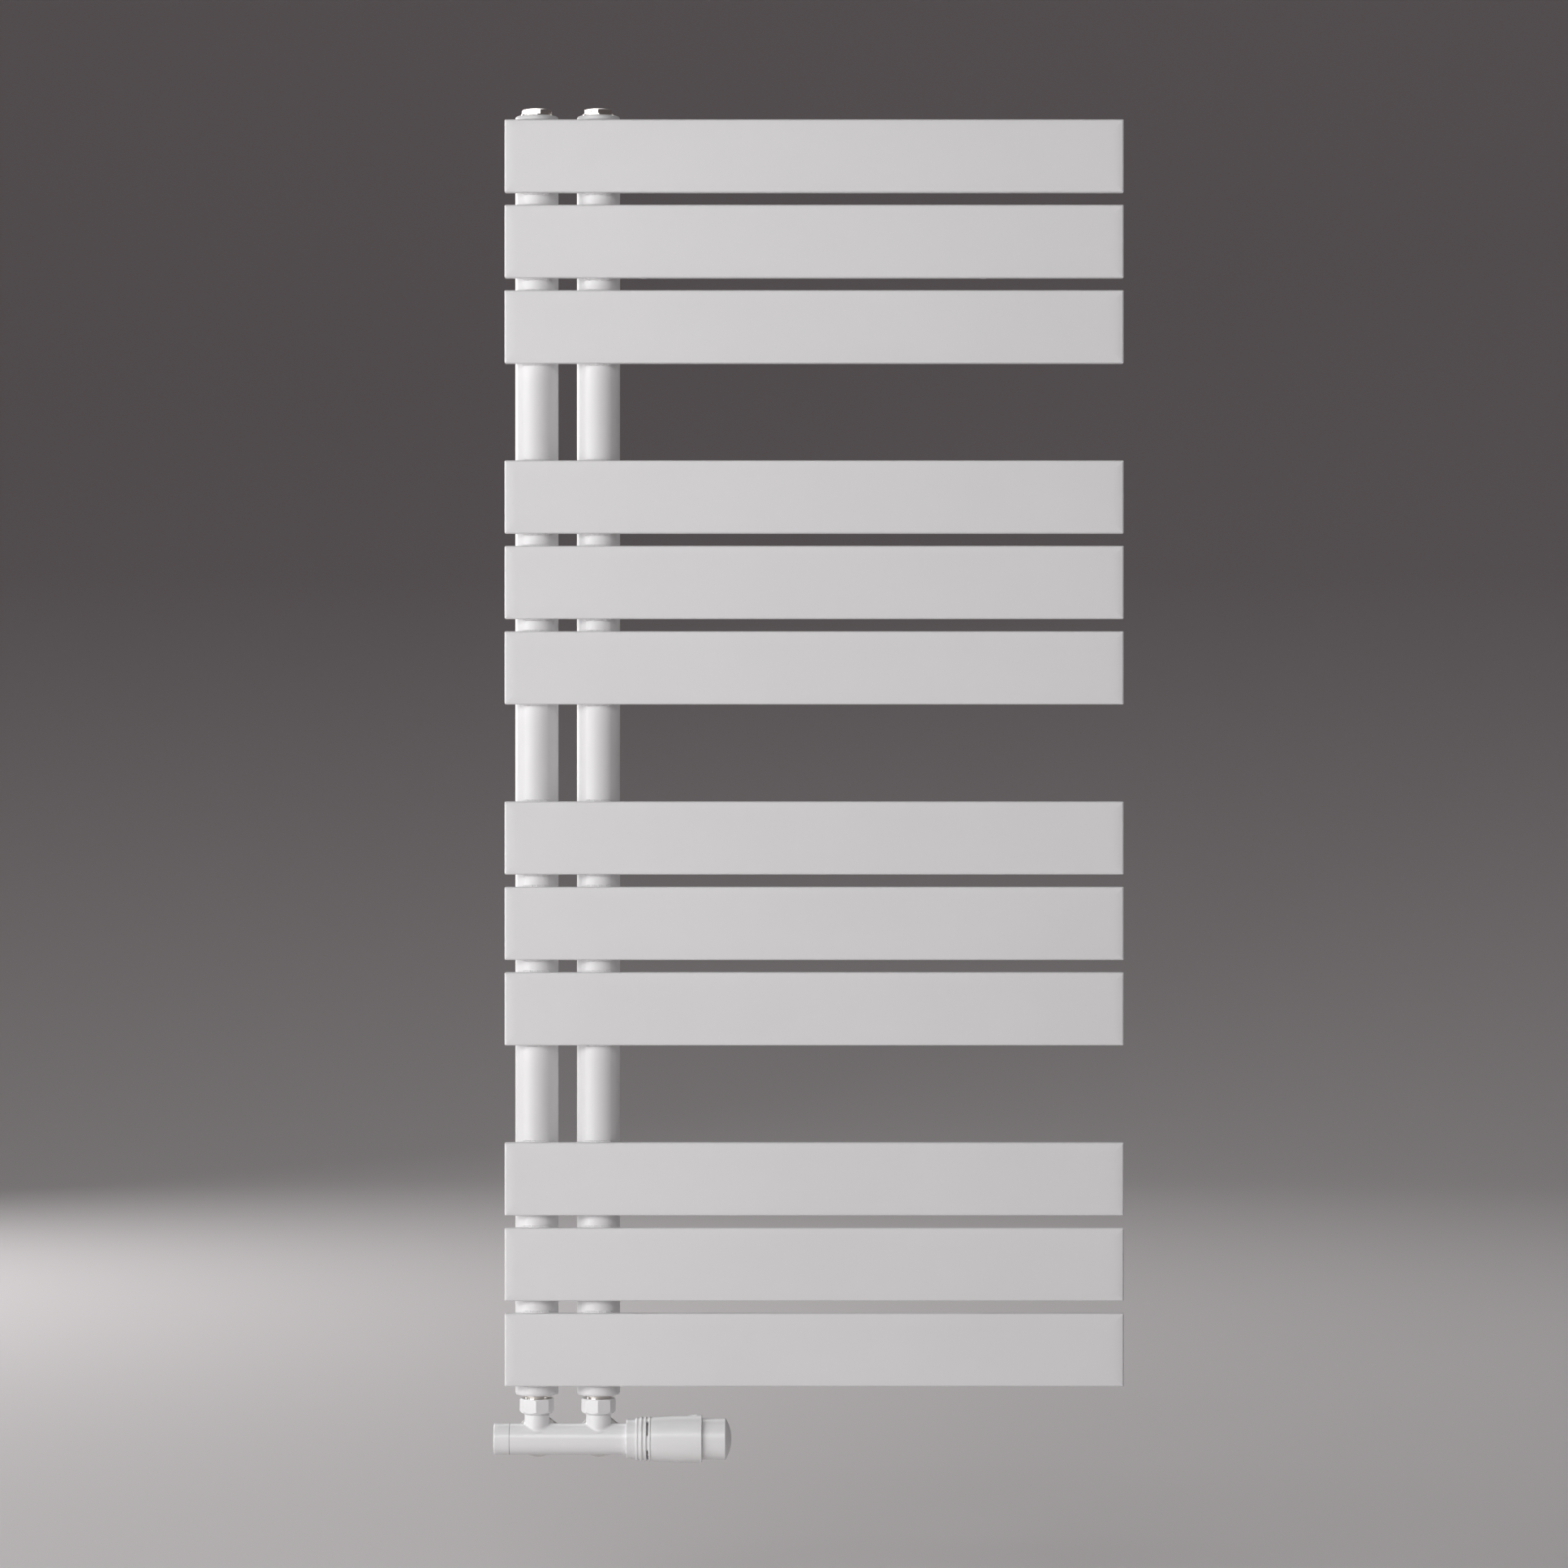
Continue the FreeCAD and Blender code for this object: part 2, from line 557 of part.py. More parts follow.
def union_nut(x):
    """The eight-sided nut, its lip over the nipple's collar and its thread on the valve's neck."""
    base = Vector(x, COLLECTOR_Y, NUT_TOP)
    half = NUT_FLATS / 2
    corner = half / math.cos(math.pi / NUT_SIDES)
    body = prism(NUT_SIDES, NUT_FLATS, 0, NUT_HEIGHT, base, -Z, -Y)
    chamfer = turned(
        [
            (0, 0),
            (0, half),
            (corner - half, corner),
            (NUT_HEIGHT - 2 * (corner - half), corner),
            (NUT_HEIGHT, half - (corner - half)),
            (NUT_HEIGHT, 0),
        ],
        base,
        -Z,
    )
    lip_hole = rod(NIPPLE_SHANK_RADIUS + SLIDE_GAP, 0, NUT_LIP, base, -Z)
    thread = rod(NECK_THREAD_RADIUS + THREAD_GAP, NUT_LIP, NUT_HEIGHT, base, -Z)
    return body.common(chamfer).cut([lip_hole, thread])


def union_gasket(x):
    top = Vector(x, COLLECTOR_Y, NECK_TOP + GASKET_THICKNESS)
    return tube(NIPPLE_COLLAR_RADIUS, NIPPLE_BORE + GASKET_THICKNESS / 2, 0, GASKET_THICKNESS, top, -Z)


def neck(x):
    """One upright neck of the valve block, threaded under its nut."""
    base = Vector(x, COLLECTOR_Y, NECK_TOP)
    thread_end = NECK_TOP - NUT_FOOT
    outline = [
        (0, 0),
        (0, NECK_THREAD_RADIUS - NECK_CHAMFER),
        (NECK_CHAMFER, NECK_THREAD_RADIUS),
        (thread_end, NECK_THREAD_RADIUS),
        (thread_end, NECK_RADIUS - NECK_CHAMFER),
        (thread_end + NECK_CHAMFER, NECK_RADIUS),
        (NECK_TOP - VALVE_Z, NECK_RADIUS),
        (NECK_TOP - VALVE_Z, 0),
    ]
    return turned(outline, base, -Z)


def pipe_port(x):
    """One cone port at the back, solid."""
    base = Vector(x, COLLECTOR_Y, VALVE_Z)
    end = CONE_START + CONE_THREAD
    outline = [
        (0, 0),
        (0, CONE_NECK_RADIUS),
        (CONE_START, CONE_NECK_RADIUS),
        (CONE_START, CONE_THREAD_RADIUS),
        (end, CONE_THREAD_RADIUS),
        (end, 0),
    ]
    return turned(outline, base, Y)


def half_block(x, outward, end):
    """The water ways of one side: chamber, seat, narrow bore, neck bore and pipe bore, as solids to cut."""
    base = Vector(x, COLLECTOR_Y, VALVE_Z)
    floor = -SEAT_OFFSET
    chamber = rod(CHAMBER_RADIUS, floor, end, base, outward)
    lip = tube(SEAT_LIP_RADIUS, SEAT_BORE, floor, floor + SEAT_LIP, base, outward)
    narrow = rod(SEAT_BORE, floor - INLET_DEPTH, floor, base, outward)
    neck_floor = CHAMBER_RADIUS + NECK_FLOOR
    neck_bore = rod(NIPPLE_BORE, neck_floor, NECK_TOP - VALVE_Z, base, Z)
    neck_hole = rod(NECK_HOLE_RADIUS, 0, neck_floor + 1, base + outward * NECK_HOLE_OFFSET, Z)
    cone_end = CONE_START + CONE_THREAD
    cone = turned(
        [
            (CONE_BORE_END, 0),
            (CONE_BORE_END, CONE_BORE_RADIUS),
            (cone_end - CONE_DEPTH, CONE_BORE_RADIUS),
            (cone_end - CONE_DEPTH, PIPE_BORE + THREAD_GAP),
            (cone_end, CONE_MOUTH_RADIUS),
            (cone_end, 0),
        ],
        base,
        Y,
    )
    pipe_hole = rod(PORT_HOLE_RADIUS, 0, CONE_BORE_END + 1, base - outward * PORT_HOLE_OFFSET, Y)
    return [chamber.cut(lip), narrow, neck_bore, neck_hole, cone, pipe_hole]


def valve_block():
    """The cast body: one horizontal tube, two necks, two pipe ports, a cap spigot and the head's thread."""
    return_base = Vector(RETURN_X, COLLECTOR_Y, VALVE_Z)
    flow_base = Vector(FLOW_X, COLLECTOR_Y, VALVE_Z)
    spigot_end = BLOCK_END_RETURN + CAP_SPIGOT
    thread_end = BLOCK_END_FLOW + HEAD_THREAD
    body = rod(BLOCK_RADIUS, -BLOCK_END_RETURN, COLLECTOR_PITCH + BLOCK_END_FLOW, return_base, X)
    spigot = rod(CAP_SPIGOT_RADIUS, BLOCK_END_RETURN, spigot_end, return_base, -X)
    head_thread = rod(HEAD_THREAD_RADIUS, BLOCK_END_FLOW, thread_end, flow_base, X)
    solids = [spigot, head_thread, neck(RETURN_X), neck(FLOW_X), pipe_port(RETURN_X), pipe_port(FLOW_X)]
    bonnet_step = rod(LOCK_FLANGE_RADIUS, LOCK_BONNET_STEP, spigot_end, return_base, -X)
    ways = half_block(RETURN_X, -X, spigot_end) + half_block(FLOW_X, X, thread_end) + [bonnet_step]
    return body.fuse(solids).removeSplitter().cut(ways)


def olive(x):
    """A compression ring: cone into the port, collar against its face, tail for the nut's back."""
    face = Vector(x, COLLECTOR_Y + CONE_START + CONE_THREAD, VALVE_Z)
    mouth = CONE_MOUTH_RADIUS - THREAD_GAP
    nose = mouth - (CONE_MOUTH_RADIUS - PIPE_BORE - THREAD_GAP) * OLIVE_NOSE / CONE_DEPTH
    outline = [
        (-OLIVE_NOSE, PIPE_BORE),
        (-OLIVE_NOSE, nose),
        (0, mouth),
        (0, OLIVE_COLLAR_RADIUS),
        (OLIVE_COLLAR, OLIVE_COLLAR_RADIUS),
        (OLIVE_COLLAR + OLIVE_TAIL, CONE_MOUTH_RADIUS),
        (OLIVE_COLLAR + OLIVE_TAIL, PIPE_BORE),
    ]
    return turned(outline, face, Y)


def pipe_nut(x):
    """The compression nut over one port: a round skirt at the front, a hexagon behind it."""
    base = Vector(x, COLLECTOR_Y, VALVE_Z)
    tail_end = CONE_START + CONE_THREAD + OLIVE_COLLAR + OLIVE_TAIL
    end = tail_end + PIPE_NUT_BACK
    start = end - PIPE_NUT_LENGTH
    half = PIPE_NUT_FLATS / 2
    corner = half / math.cos(math.pi / 6)
    hexagon = prism(6, PIPE_NUT_FLATS, start + PIPE_NUT_SKIRT, end, base, Y, Z)
    chamfer = turned(
        [
            (start, 0),
            (start, corner),
            (end - (corner - half), corner),
            (end, half),
            (end, 0),
        ],
        base,
        Y,
    )
    skirt = turned(
        [
            (start, 0),
            (start, PIPE_NUT_SKIRT_RADIUS - SHELL_GAP),
            (start + SHELL_GAP, PIPE_NUT_SKIRT_RADIUS),
            (start + PIPE_NUT_SKIRT - SHELL_GAP, PIPE_NUT_SKIRT_RADIUS),
            (start + PIPE_NUT_SKIRT, PIPE_NUT_SKIRT_RADIUS - SHELL_GAP),
            (start + PIPE_NUT_SKIRT, 0),
        ],
        base,
        Y,
    )
    hollow = turned(
        [
            (start, 0),
            (start, CONE_THREAD_RADIUS + THREAD_GAP),
            (CONE_START + CONE_THREAD + OLIVE_COLLAR, CONE_THREAD_RADIUS + THREAD_GAP),
            (tail_end, CONE_MOUTH_RADIUS + THREAD_GAP),
            (tail_end, PIPE_BORE),
            (end, PIPE_BORE),
            (end, 0),
        ],
        base,
        Y,
    )
    return hexagon.common(chamfer).fuse(skirt).removeSplitter().cut(hollow)


def lockshield_cap():
    """The push-on cap: crowned end, rounded rim."""
    base = Vector(RETURN_X - BLOCK_END_RETURN, COLLECTOR_Y, VALVE_Z)
    side_end = CAP_LENGTH - CAP_CROWN - CAP_EDGE
    bore = CAP_SPIGOT_RADIUS + SLIDE_GAP
    floor = CAP_LENGTH - CAP_CROWN - CAP_FLOOR
    rim = Vector(side_end, BLOCK_RADIUS, 0)
    rim_middle = Vector(
        side_end + CAP_EDGE * math.sqrt(0.5), BLOCK_RADIUS - CAP_EDGE * (1 - math.sqrt(0.5)), 0
    )
    crown_start = Vector(side_end + CAP_EDGE, BLOCK_RADIUS - CAP_EDGE, 0)
    tip = Vector(CAP_LENGTH, 0, 0)
    inside = [tip, Vector(floor, 0, 0), Vector(floor, bore, 0), Vector(0, bore, 0)]
    corners = inside + [Vector(0, BLOCK_RADIUS, 0), rim]
    edges = [Part.makeLine(a, b) for a, b in zip(corners, corners[1:])]
    edges.append(Part.Arc(rim, rim_middle, crown_start).toShape())
    edges.append(dome(crown_start, tip))
    cap = Part.Face(Part.Wire(Part.__sortEdges__(edges))).revolve(Vector(), X, 360)
    cap.Placement = FreeCAD.Placement(base, FreeCAD.Rotation(X, -X))
    return cap


def lockshield_pieces():
    """Bonnet, captive spindle, its retaining ring, and the plug with its seal, on the return side."""
    base = Vector(RETURN_X, COLLECTOR_Y, VALVE_Z)
    outward = -X
    end = BLOCK_END_RETURN + CAP_SPIGOT
    pocket = LOCK_COLLAR_RADIUS + SLIDE_GAP
    ring_start = LOCK_COLLAR_START + LOCK_COLLAR + SLIDE_GAP
    bonnet = turned(
        [
            (LOCK_BONNET_INNER, LOCK_SPINDLE_RADIUS + SLIDE_GAP),
            (LOCK_BONNET_INNER, CHAMBER_RADIUS - THREAD_GAP),
            (LOCK_BONNET_STEP, CHAMBER_RADIUS - THREAD_GAP),
            (LOCK_BONNET_STEP, LOCK_FLANGE_RADIUS - THREAD_GAP),
            (end, LOCK_FLANGE_RADIUS - THREAD_GAP),
            (end, pocket),
            (LOCK_COLLAR_START, pocket),
            (LOCK_COLLAR_START, LOCK_SPINDLE_RADIUS + SLIDE_GAP),
        ],
        base,
        outward,
    )
    ring = tube(
        LOCK_COLLAR_RADIUS, LOCK_SPINDLE_RADIUS + SLIDE_GAP, ring_start, ring_start + LOCK_RING, base, outward
    )
    seal_start = SEAT_LIP - SEAT_OFFSET + LOCK_LIFT
    holder_start = seal_start + SEAL_DISC
    holder_end = LOCK_BONNET_INNER - LOCK_LIFT - 1
    spindle = turned(
        [
            (LOCK_SCREW_END, 0),
            (LOCK_SCREW_END, LOCK_SCREW_RADIUS),
            (LOCK_BONNET_INNER, LOCK_SCREW_RADIUS),
            (LOCK_BONNET_INNER, LOCK_SPINDLE_RADIUS),
            (LOCK_COLLAR_START, LOCK_SPINDLE_RADIUS),
            (LOCK_COLLAR_START, LOCK_COLLAR_RADIUS),
            (LOCK_COLLAR_START + LOCK_COLLAR, LOCK_COLLAR_RADIUS),
            (LOCK_COLLAR_START + LOCK_COLLAR, LOCK_SPINDLE_RADIUS),
            (LOCK_HEAD_END, LOCK_SPINDLE_RADIUS),
            (LOCK_HEAD_END, 0),
        ],
        base,
        outward,
    )
    socket = prism(6, LOCK_KEY_FLATS, LOCK_HEAD_END - LOCK_KEY_DEPTH, LOCK_HEAD_END, base, outward, Z)
    seal = rod(SEAL_DISC_RADIUS, seal_start, holder_start, base, outward)
    holder = rod(HOLDER_RADIUS, holder_start, holder_end, base, outward)
    screw_hole = rod(
        LOCK_SCREW_RADIUS + SLIDE_GAP, holder_start + SLIDE_GAP, holder_end, base, outward
    )
    return bonnet, spindle.cut(socket), ring, holder.cut(screw_hole), seal


def thermostat_insert():
    """The brass insert's body with its hexagon flange, and the gland screwed into its outer end."""
    base = Vector(FLOW_X, COLLECTOR_Y, VALVE_Z)
    seat = BLOCK_END_FLOW + HEAD_THREAD
    flange_end = seat + INSERT_FLANGE
    pin_hole = PIN_RADIUS + SLIDE_GAP
    body = rod(CHAMBER_RADIUS - THREAD_GAP, INSERT_START, seat, base, X)
    flange = prism(6, INSERT_FLANGE_FLATS, seat, flange_end, base, X, Z)
    chamber = rod(SPRING_CHAMBER_RADIUS, INSERT_START + INSERT_FLOOR, flange_end, base, X)
    hole = rod(pin_hole, INSERT_START, flange_end, base, X)
    insert = body.fuse(flange).removeSplitter().cut([chamber, hole])
    gland_end = GLAND_START + GLAND_LENGTH
    ring_pocket = GLAND_RING_RADIUS + GLAND_RING_WIRE + SEAL_ROOM
    ring_depth = 2 * (GLAND_RING_WIRE + SEAL_ROOM)
    gland = turned(
        [
            (GLAND_START, ring_pocket),
            (GLAND_START, SPRING_CHAMBER_RADIUS - THREAD_GAP / 2),
            (gland_end, SPRING_CHAMBER_RADIUS - THREAD_GAP / 2),
            (gland_end, pin_hole),
            (GLAND_START + ring_depth, pin_hole),
            (GLAND_START + ring_depth, ring_pocket),
        ],
        base,
        X,
    )
    ring = o_ring(GLAND_RING_RADIUS, GLAND_RING_WIRE, base + X * (GLAND_START + ring_depth / 2), X)
    return insert, gland, ring


def valve_pin_pieces():
    """What the head pushes: the pin with its spring collar, the plug on its end and the seal."""
    base = Vector(FLOW_X, COLLECTOR_Y, VALVE_Z)
    seal_start = SEAT_LIP - SEAT_OFFSET + VALVE_LIFT
    holder_start = seal_start + SEAL_DISC
    holder_end = holder_start + HOLDER_LENGTH
    seal = rod(SEAL_DISC_RADIUS, seal_start, holder_start, base, X)
    holder = rod(HOLDER_RADIUS, holder_start, holder_end, base, X)
    shank = rod(PIN_RADIUS, holder_end, PIN_END, base, X)
    collar = rod(PIN_COLLAR_RADIUS, PIN_COLLAR_START, PIN_COLLAR_START + PIN_COLLAR, base, X)
    spring = coil_spring(
        SPRING_RADIUS,
        SPRING_WIRE,
        SPRING_TURNS,
        INSERT_START + INSERT_FLOOR,
        PIN_COLLAR_START,
        base,
        X,
    )
    return shank.fuse(collar).removeSplitter(), holder, seal, spring


def head_nut():
    """The round union nut that holds the head on the valve's thread."""
    base = Vector(FLOW_X + BLOCK_END_FLOW, COLLECTOR_Y, VALVE_Z)
    thread = HEAD_THREAD_RADIUS + THREAD_GAP
    lip_bore = BASE_NECK_RADIUS + SHELL_GAP
    edge = SHELL_GAP
    outline = [
        (0, BLOCK_RADIUS + SHELL_GAP),
        (0, HEAD_NUT_RADIUS - edge),
        (edge, HEAD_NUT_RADIUS),
        (HEAD_NUT_LENGTH, HEAD_NUT_RADIUS),
        (HEAD_NUT_LENGTH, lip_bore),
        (HEAD_NUT_LENGTH - HEAD_NUT_LIP, lip_bore),
        (HEAD_NUT_LENGTH - HEAD_NUT_LIP, thread),
        (0, thread),
    ]
    return turned(outline[1:], base, X)


def head_base():
    """The head's fixed core: a flange under the nut's lip, a disc for the cage and a threaded sleeve."""
    base = Vector(FLOW_X, COLLECTOR_Y, VALVE_Z)
    flange_start = BLOCK_END_FLOW + HEAD_THREAD
    pocket = INSERT_FLANGE_FLATS / 2 / math.cos(math.pi / 6) + SHELL_GAP
    outline = [
        (flange_start, pocket),
        (flange_start, BASE_FLANGE_RADIUS),
        (flange_start + BASE_FLANGE, BASE_FLANGE_RADIUS),
        (flange_start + BASE_FLANGE, BASE_NECK_RADIUS),
        (BASE_DISC_START, BASE_NECK_RADIUS),
        (BASE_DISC_START, BASE_DISC_RADIUS),
        (BASE_DISC_START + BASE_DISC, BASE_DISC_RADIUS),
        (BASE_DISC_START + BASE_DISC, BASE_NECK_RADIUS),
        (BASE_END, BASE_NECK_RADIUS),
        (BASE_END, BASE_BORE),
        (BASE_POCKET_END, BASE_BORE),
        (BASE_POCKET_END, pocket),
    ]
    return turned(outline, base, X)


def head_cage():
    """The head's fixed shell: a ringed collar with air slots, then the barrel with its pointer."""
    base = Vector(FLOW_X, COLLECTOR_Y, VALVE_Z)
    outline = [(CAGE_START, CAGE_BORE + CAGE_WALL)]
    crest_start = CAGE_START + RING_CREST / 4
    for ring_wall, groove_wall in zip(RING_WALLS, GROOVE_WALLS):
        crest = CAGE_BORE + ring_wall
        groove = CAGE_BORE + groove_wall
        crest_end = crest_start + RING_CREST
        next_start = crest_start + RING_PITCH
        bevel = RING_CREST / 4
        outline += [
            (crest_start, crest - bevel),
            (crest_start + bevel, crest),
            (crest_end - bevel, crest),
            (crest_end, crest - bevel),
            (crest_end, groove),
            (next_start, groove),
        ]
        crest_start = next_start
    barrel_start = crest_start
    shoulder = (barrel_start, CAGE_BORE + BARREL_START_WALL)
    web_start = BASE_DISC_START + BASE_DISC
    inside = [
        (BARREL_END, MOUTH_BORE),
        (BARREL_END - MOUTH_DEPTH, MOUTH_BORE),
        (BARREL_END - MOUTH_DEPTH, BARREL_BORE),
        (BARREL_BORE_START, BARREL_BORE),
        (BARREL_BORE_START, CAGE_BORE),
        (web_start + CAGE_WEB, CAGE_BORE),
        (web_start + CAGE_WEB, BASE_NECK_RADIUS + THREAD_GAP),
        (web_start, BASE_NECK_RADIUS + THREAD_GAP),
        (web_start, CAGE_BORE),
        (CAGE_START, CAGE_BORE),
        (CAGE_START, CAGE_BORE + CAGE_WALL),
    ]
    points = [Vector(along, radius, 0) for along, radius in outline + [shoulder]]
    edges = [Part.makeLine(a, b) for a, b in zip(points, points[1:])]
    end_radius = CAGE_BORE + BARREL_END_WALL
    rim_start = Vector(BARREL_END - SHELL_GAP, end_radius, 0)
    middle = Vector((barrel_start + BARREL_END) / 2, CAGE_BORE + BARREL_MIDDLE_WALL, 0)
    edges.append(Part.Arc(points[-1], middle, rim_start).toShape())
    inner = [rim_start, Vector(BARREL_END, end_radius - SHELL_GAP, 0)]
    inner += [Vector(along, radius, 0) for along, radius in inside]
    edges += [Part.makeLine(a, b) for a, b in zip(inner, inner[1:])]
    shell = Part.Face(Part.Wire(Part.__sortEdges__(edges))).revolve(Vector(), X, 360)
    shell.translate(base)
    return shell.cut(air_slots(base) + [pointer(base)])


def air_slots(base):
    """Sectors that cut the slotted groove through to the inside of the cage."""
    start = CAGE_START + RING_CREST / 4 + SLOTTED_GROOVE * RING_PITCH + RING_CREST
    width = RING_PITCH - RING_CREST
    outer = CAGE_BORE + max(RING_WALLS)
    slots = []
    for i in range(SLOT_COUNT):
        middle = SLOT_FIRST + i * 360 / SLOT_COUNT
        ring = Part.makeCylinder(outer, width, Vector(start, 0, 0), X, SLOT_ANGLE)
        core = Part.makeCylinder(CAGE_BORE - SHELL_GAP, width, Vector(start, 0, 0), X)
        sector = ring.cut(core)
        # makeCylinder's sector starts at -Z and turns towards +Y about +X, so the front is a quarter turn back.
        sector.rotate(Vector(), X, -90 - middle - SLOT_ANGLE / 2)
        sector.translate(base)
        slots.append(sector)
    return slots


def pointer(base):
    """The scooped pointer in the barrel's top, near its mouth."""
    surface = CAGE_BORE + BARREL_END_WALL - SHELL_GAP / 2
    centre = base + X * POINTER_PLACE + Z * (surface - POINTER_DEPTH + POINTER_RADIUS)
    return Part.makeSphere(POINTER_RADIUS, centre)


def handwheel():
    """The part that is turned: a domed cap with a skirt inside the barrel, threaded on the base's sleeve."""
    base = Vector(FLOW_X, COLLECTOR_Y, VALVE_Z)
    wall_bore = WHEEL_SKIRT_RADIUS - WHEEL_WALL
    thread = BASE_NECK_RADIUS + SLIDE_GAP
    dome_rim = WHEEL_END_RADIUS - WHEEL_EDGE
    thrust = CUP_END + SEAL_ROOM
    ceiling = WHEEL_CYLINDER_END - WHEEL_WALL
    outer = [
        (WHEEL_START, wall_bore),
        (WHEEL_START, WHEEL_SKIRT_RADIUS),
        (BARREL_END - WHEEL_WALL, WHEEL_SKIRT_RADIUS),
        (BARREL_END - WHEEL_WALL, WHEEL_RADIUS),
        (WHEEL_CYLINDER_END - WHEEL_EDGE, WHEEL_END_RADIUS),
        (WHEEL_CYLINDER_END, dome_rim),
    ]
    inner = [
        (WHEEL_END, 0),
        (thrust, 0),
        (thrust, WHEEL_THRUST_RADIUS),
        (ceiling, WHEEL_THRUST_RADIUS),
        (ceiling, wall_bore),
        (WHEEL_THREAD_START + WHEEL_THREAD, wall_bore),
        (WHEEL_THREAD_START + WHEEL_THREAD, thread),
        (WHEEL_THREAD_START, thread),
        (WHEEL_THREAD_START, wall_bore),
        (WHEEL_START, wall_bore),
    ]
    outer = [Vector(along, radius, 0) for along, radius in outer]
    inner = [Vector(along, radius, 0) for along, radius in inner]
    edges = [Part.makeLine(a, b) for a, b in zip(outer, outer[1:])]
    edges.append(dome(outer[-1], inner[0]))
    edges += [Part.makeLine(a, b) for a, b in zip(inner, inner[1:])]
    wheel = Part.Face(Part.Wire(Part.__sortEdges__(edges))).revolve(Vector(), X, 360)
    wheel.translate(base)
    return wheel


def sensor_pieces():
    """The sensor capsule and push pin, the cup that guides it in the handwheel, and the overtravel spring."""
    base = Vector(FLOW_X, COLLECTOR_Y, VALVE_Z)
    capsule = rod(CAPSULE_RADIUS, CAPSULE_START, CAPSULE_END, base, X)
    push_pin = rod(PUSH_PIN_RADIUS, PIN_END, CAPSULE_START, base, X)
    cup = rod(CUP_RADIUS, CUP_START, CUP_END, base, X).cut(
        rod(CAPSULE_RADIUS + SLIDE_GAP, CUP_START, CUP_END - CUP_FLOOR, base, X)
    )
    spring = coil_spring(
        OVERTRAVEL_RADIUS,
        OVERTRAVEL_WIRE,
        OVERTRAVEL_TURNS,
        CAPSULE_END,
        CUP_END - CUP_FLOOR,
        base,
        X,
    )
    return capsule, push_pin, cup, spring


def bracket_places():
    return [(x, z) for x in (-BRACKET_X, BRACKET_X) for z in (-BRACKET_Z, BRACKET_Z)]


def bracket_pieces(x, z):
    """One telescopic bracket: boss on the panel's back, pin, wall socket, rosette and grub screw."""
    panel = Vector(x, PANEL_BACK, z)
    wall = Vector(x, 0, z)
    pin_length = -BRACKET_PIN_REACH - PANEL_BACK
    boss = tube(BRACKET_BOSS_RADIUS, BRACKET_PIN_SPIGOT_RADIUS + THREAD_GAP, 0, BRACKET_BOSS, panel, Y)
    pin = rod(BRACKET_PIN_RADIUS, BRACKET_BOSS, pin_length, panel, Y).fuse(
        rod(BRACKET_PIN_SPIGOT_RADIUS, 0, BRACKET_BOSS, panel, Y)
    )
    bore = BRACKET_PIN_RADIUS + SLIDE_GAP
    grub_base = wall - Y * GRUB_PLACE
    grub_hole = rod(GRUB_RADIUS + THREAD_GAP, 0, SOCKET_RADIUS + 1, grub_base, -Z)
    socket = rod(SOCKET_RADIUS, 0, SOCKET_LENGTH, wall, -Y).cut(
        [
            rod(bore, SOCKET_FLOOR, SOCKET_LENGTH, wall, -Y),
            rod(SCREW_HOLE_RADIUS, 0, SOCKET_FLOOR, wall, -Y),
            grub_hole,
        ]
    )
    rosette = turned(
        [
            (0, SOCKET_RADIUS + SLIDE_GAP),
            (0, ROSETTE_RADIUS),
            (ROSETTE_DEPTH - ROSETTE_EDGE, ROSETTE_RADIUS),
            (ROSETTE_DEPTH, ROSETTE_RADIUS - ROSETTE_EDGE),
            (ROSETTE_DEPTH, SOCKET_RADIUS + SLIDE_GAP),
        ],
        wall,
        -Y,
    )
    hollow = tube(
        ROSETTE_RADIUS - ROSETTE_EDGE,
        SOCKET_RADIUS + ROSETTE_WALL,
        0,
        ROSETTE_DEPTH - ROSETTE_WALL,
        wall,
        -Y,
    )
    grub = rod(GRUB_RADIUS, BRACKET_PIN_RADIUS + SLIDE_GAP / 2, SOCKET_RADIUS, grub_base, -Z).cut(
        prism(6, GRUB_KEY_FLATS, SOCKET_RADIUS - GRUB_KEY_DEPTH, SOCKET_RADIUS, grub_base, -Z, X)
    )
    return boss, pin.removeSplitter(), socket, rosette.cut(hollow), grub


def add_radiator(nodes):
    """Panels, collectors and their end bosses."""
    form = panel_form()
    shell, ends, baffle = panel_pieces(form)
    heights = panel_heights()
    for number, z in enumerate(heights, start=1):
        nodes[f"panel_{number:02d}"] = [shell.translated(Z * z)]
    nodes["panel_end_plates"] = [end.translated(Z * z) for z in heights for end in ends]
    nodes["panel_baffles"] = [baffle.translated(Z * z) for z in heights]
    forms = [form.translated(Z * z) for z in heights]
    nodes["collector_return"] = [collector(RETURN_X, forms)]
    nodes["collector_flow"] = [collector(FLOW_X, forms)]
    nodes["collector_top_bosses"] = [end_boss(x, True).cut(forms[0]) for x in (RETURN_X, FLOW_X)]
    nodes["collector_foot_bosses"] = [end_boss(x, False).cut(forms[-1]) for x in (RETURN_X, FLOW_X)]


def add_top_fittings(nodes):
    nodes["blank_plug"] = [top_plug(RETURN_X, PLUG_TURNS["return"])]
    plug, screw = vent_plug_and_screw()
    nodes["vent_plug"] = [plug]
    nodes["bleed_screw"] = [screw]
    nodes["plug_seals"] = mouth_seals(COLLECTOR_TOP, -Z)


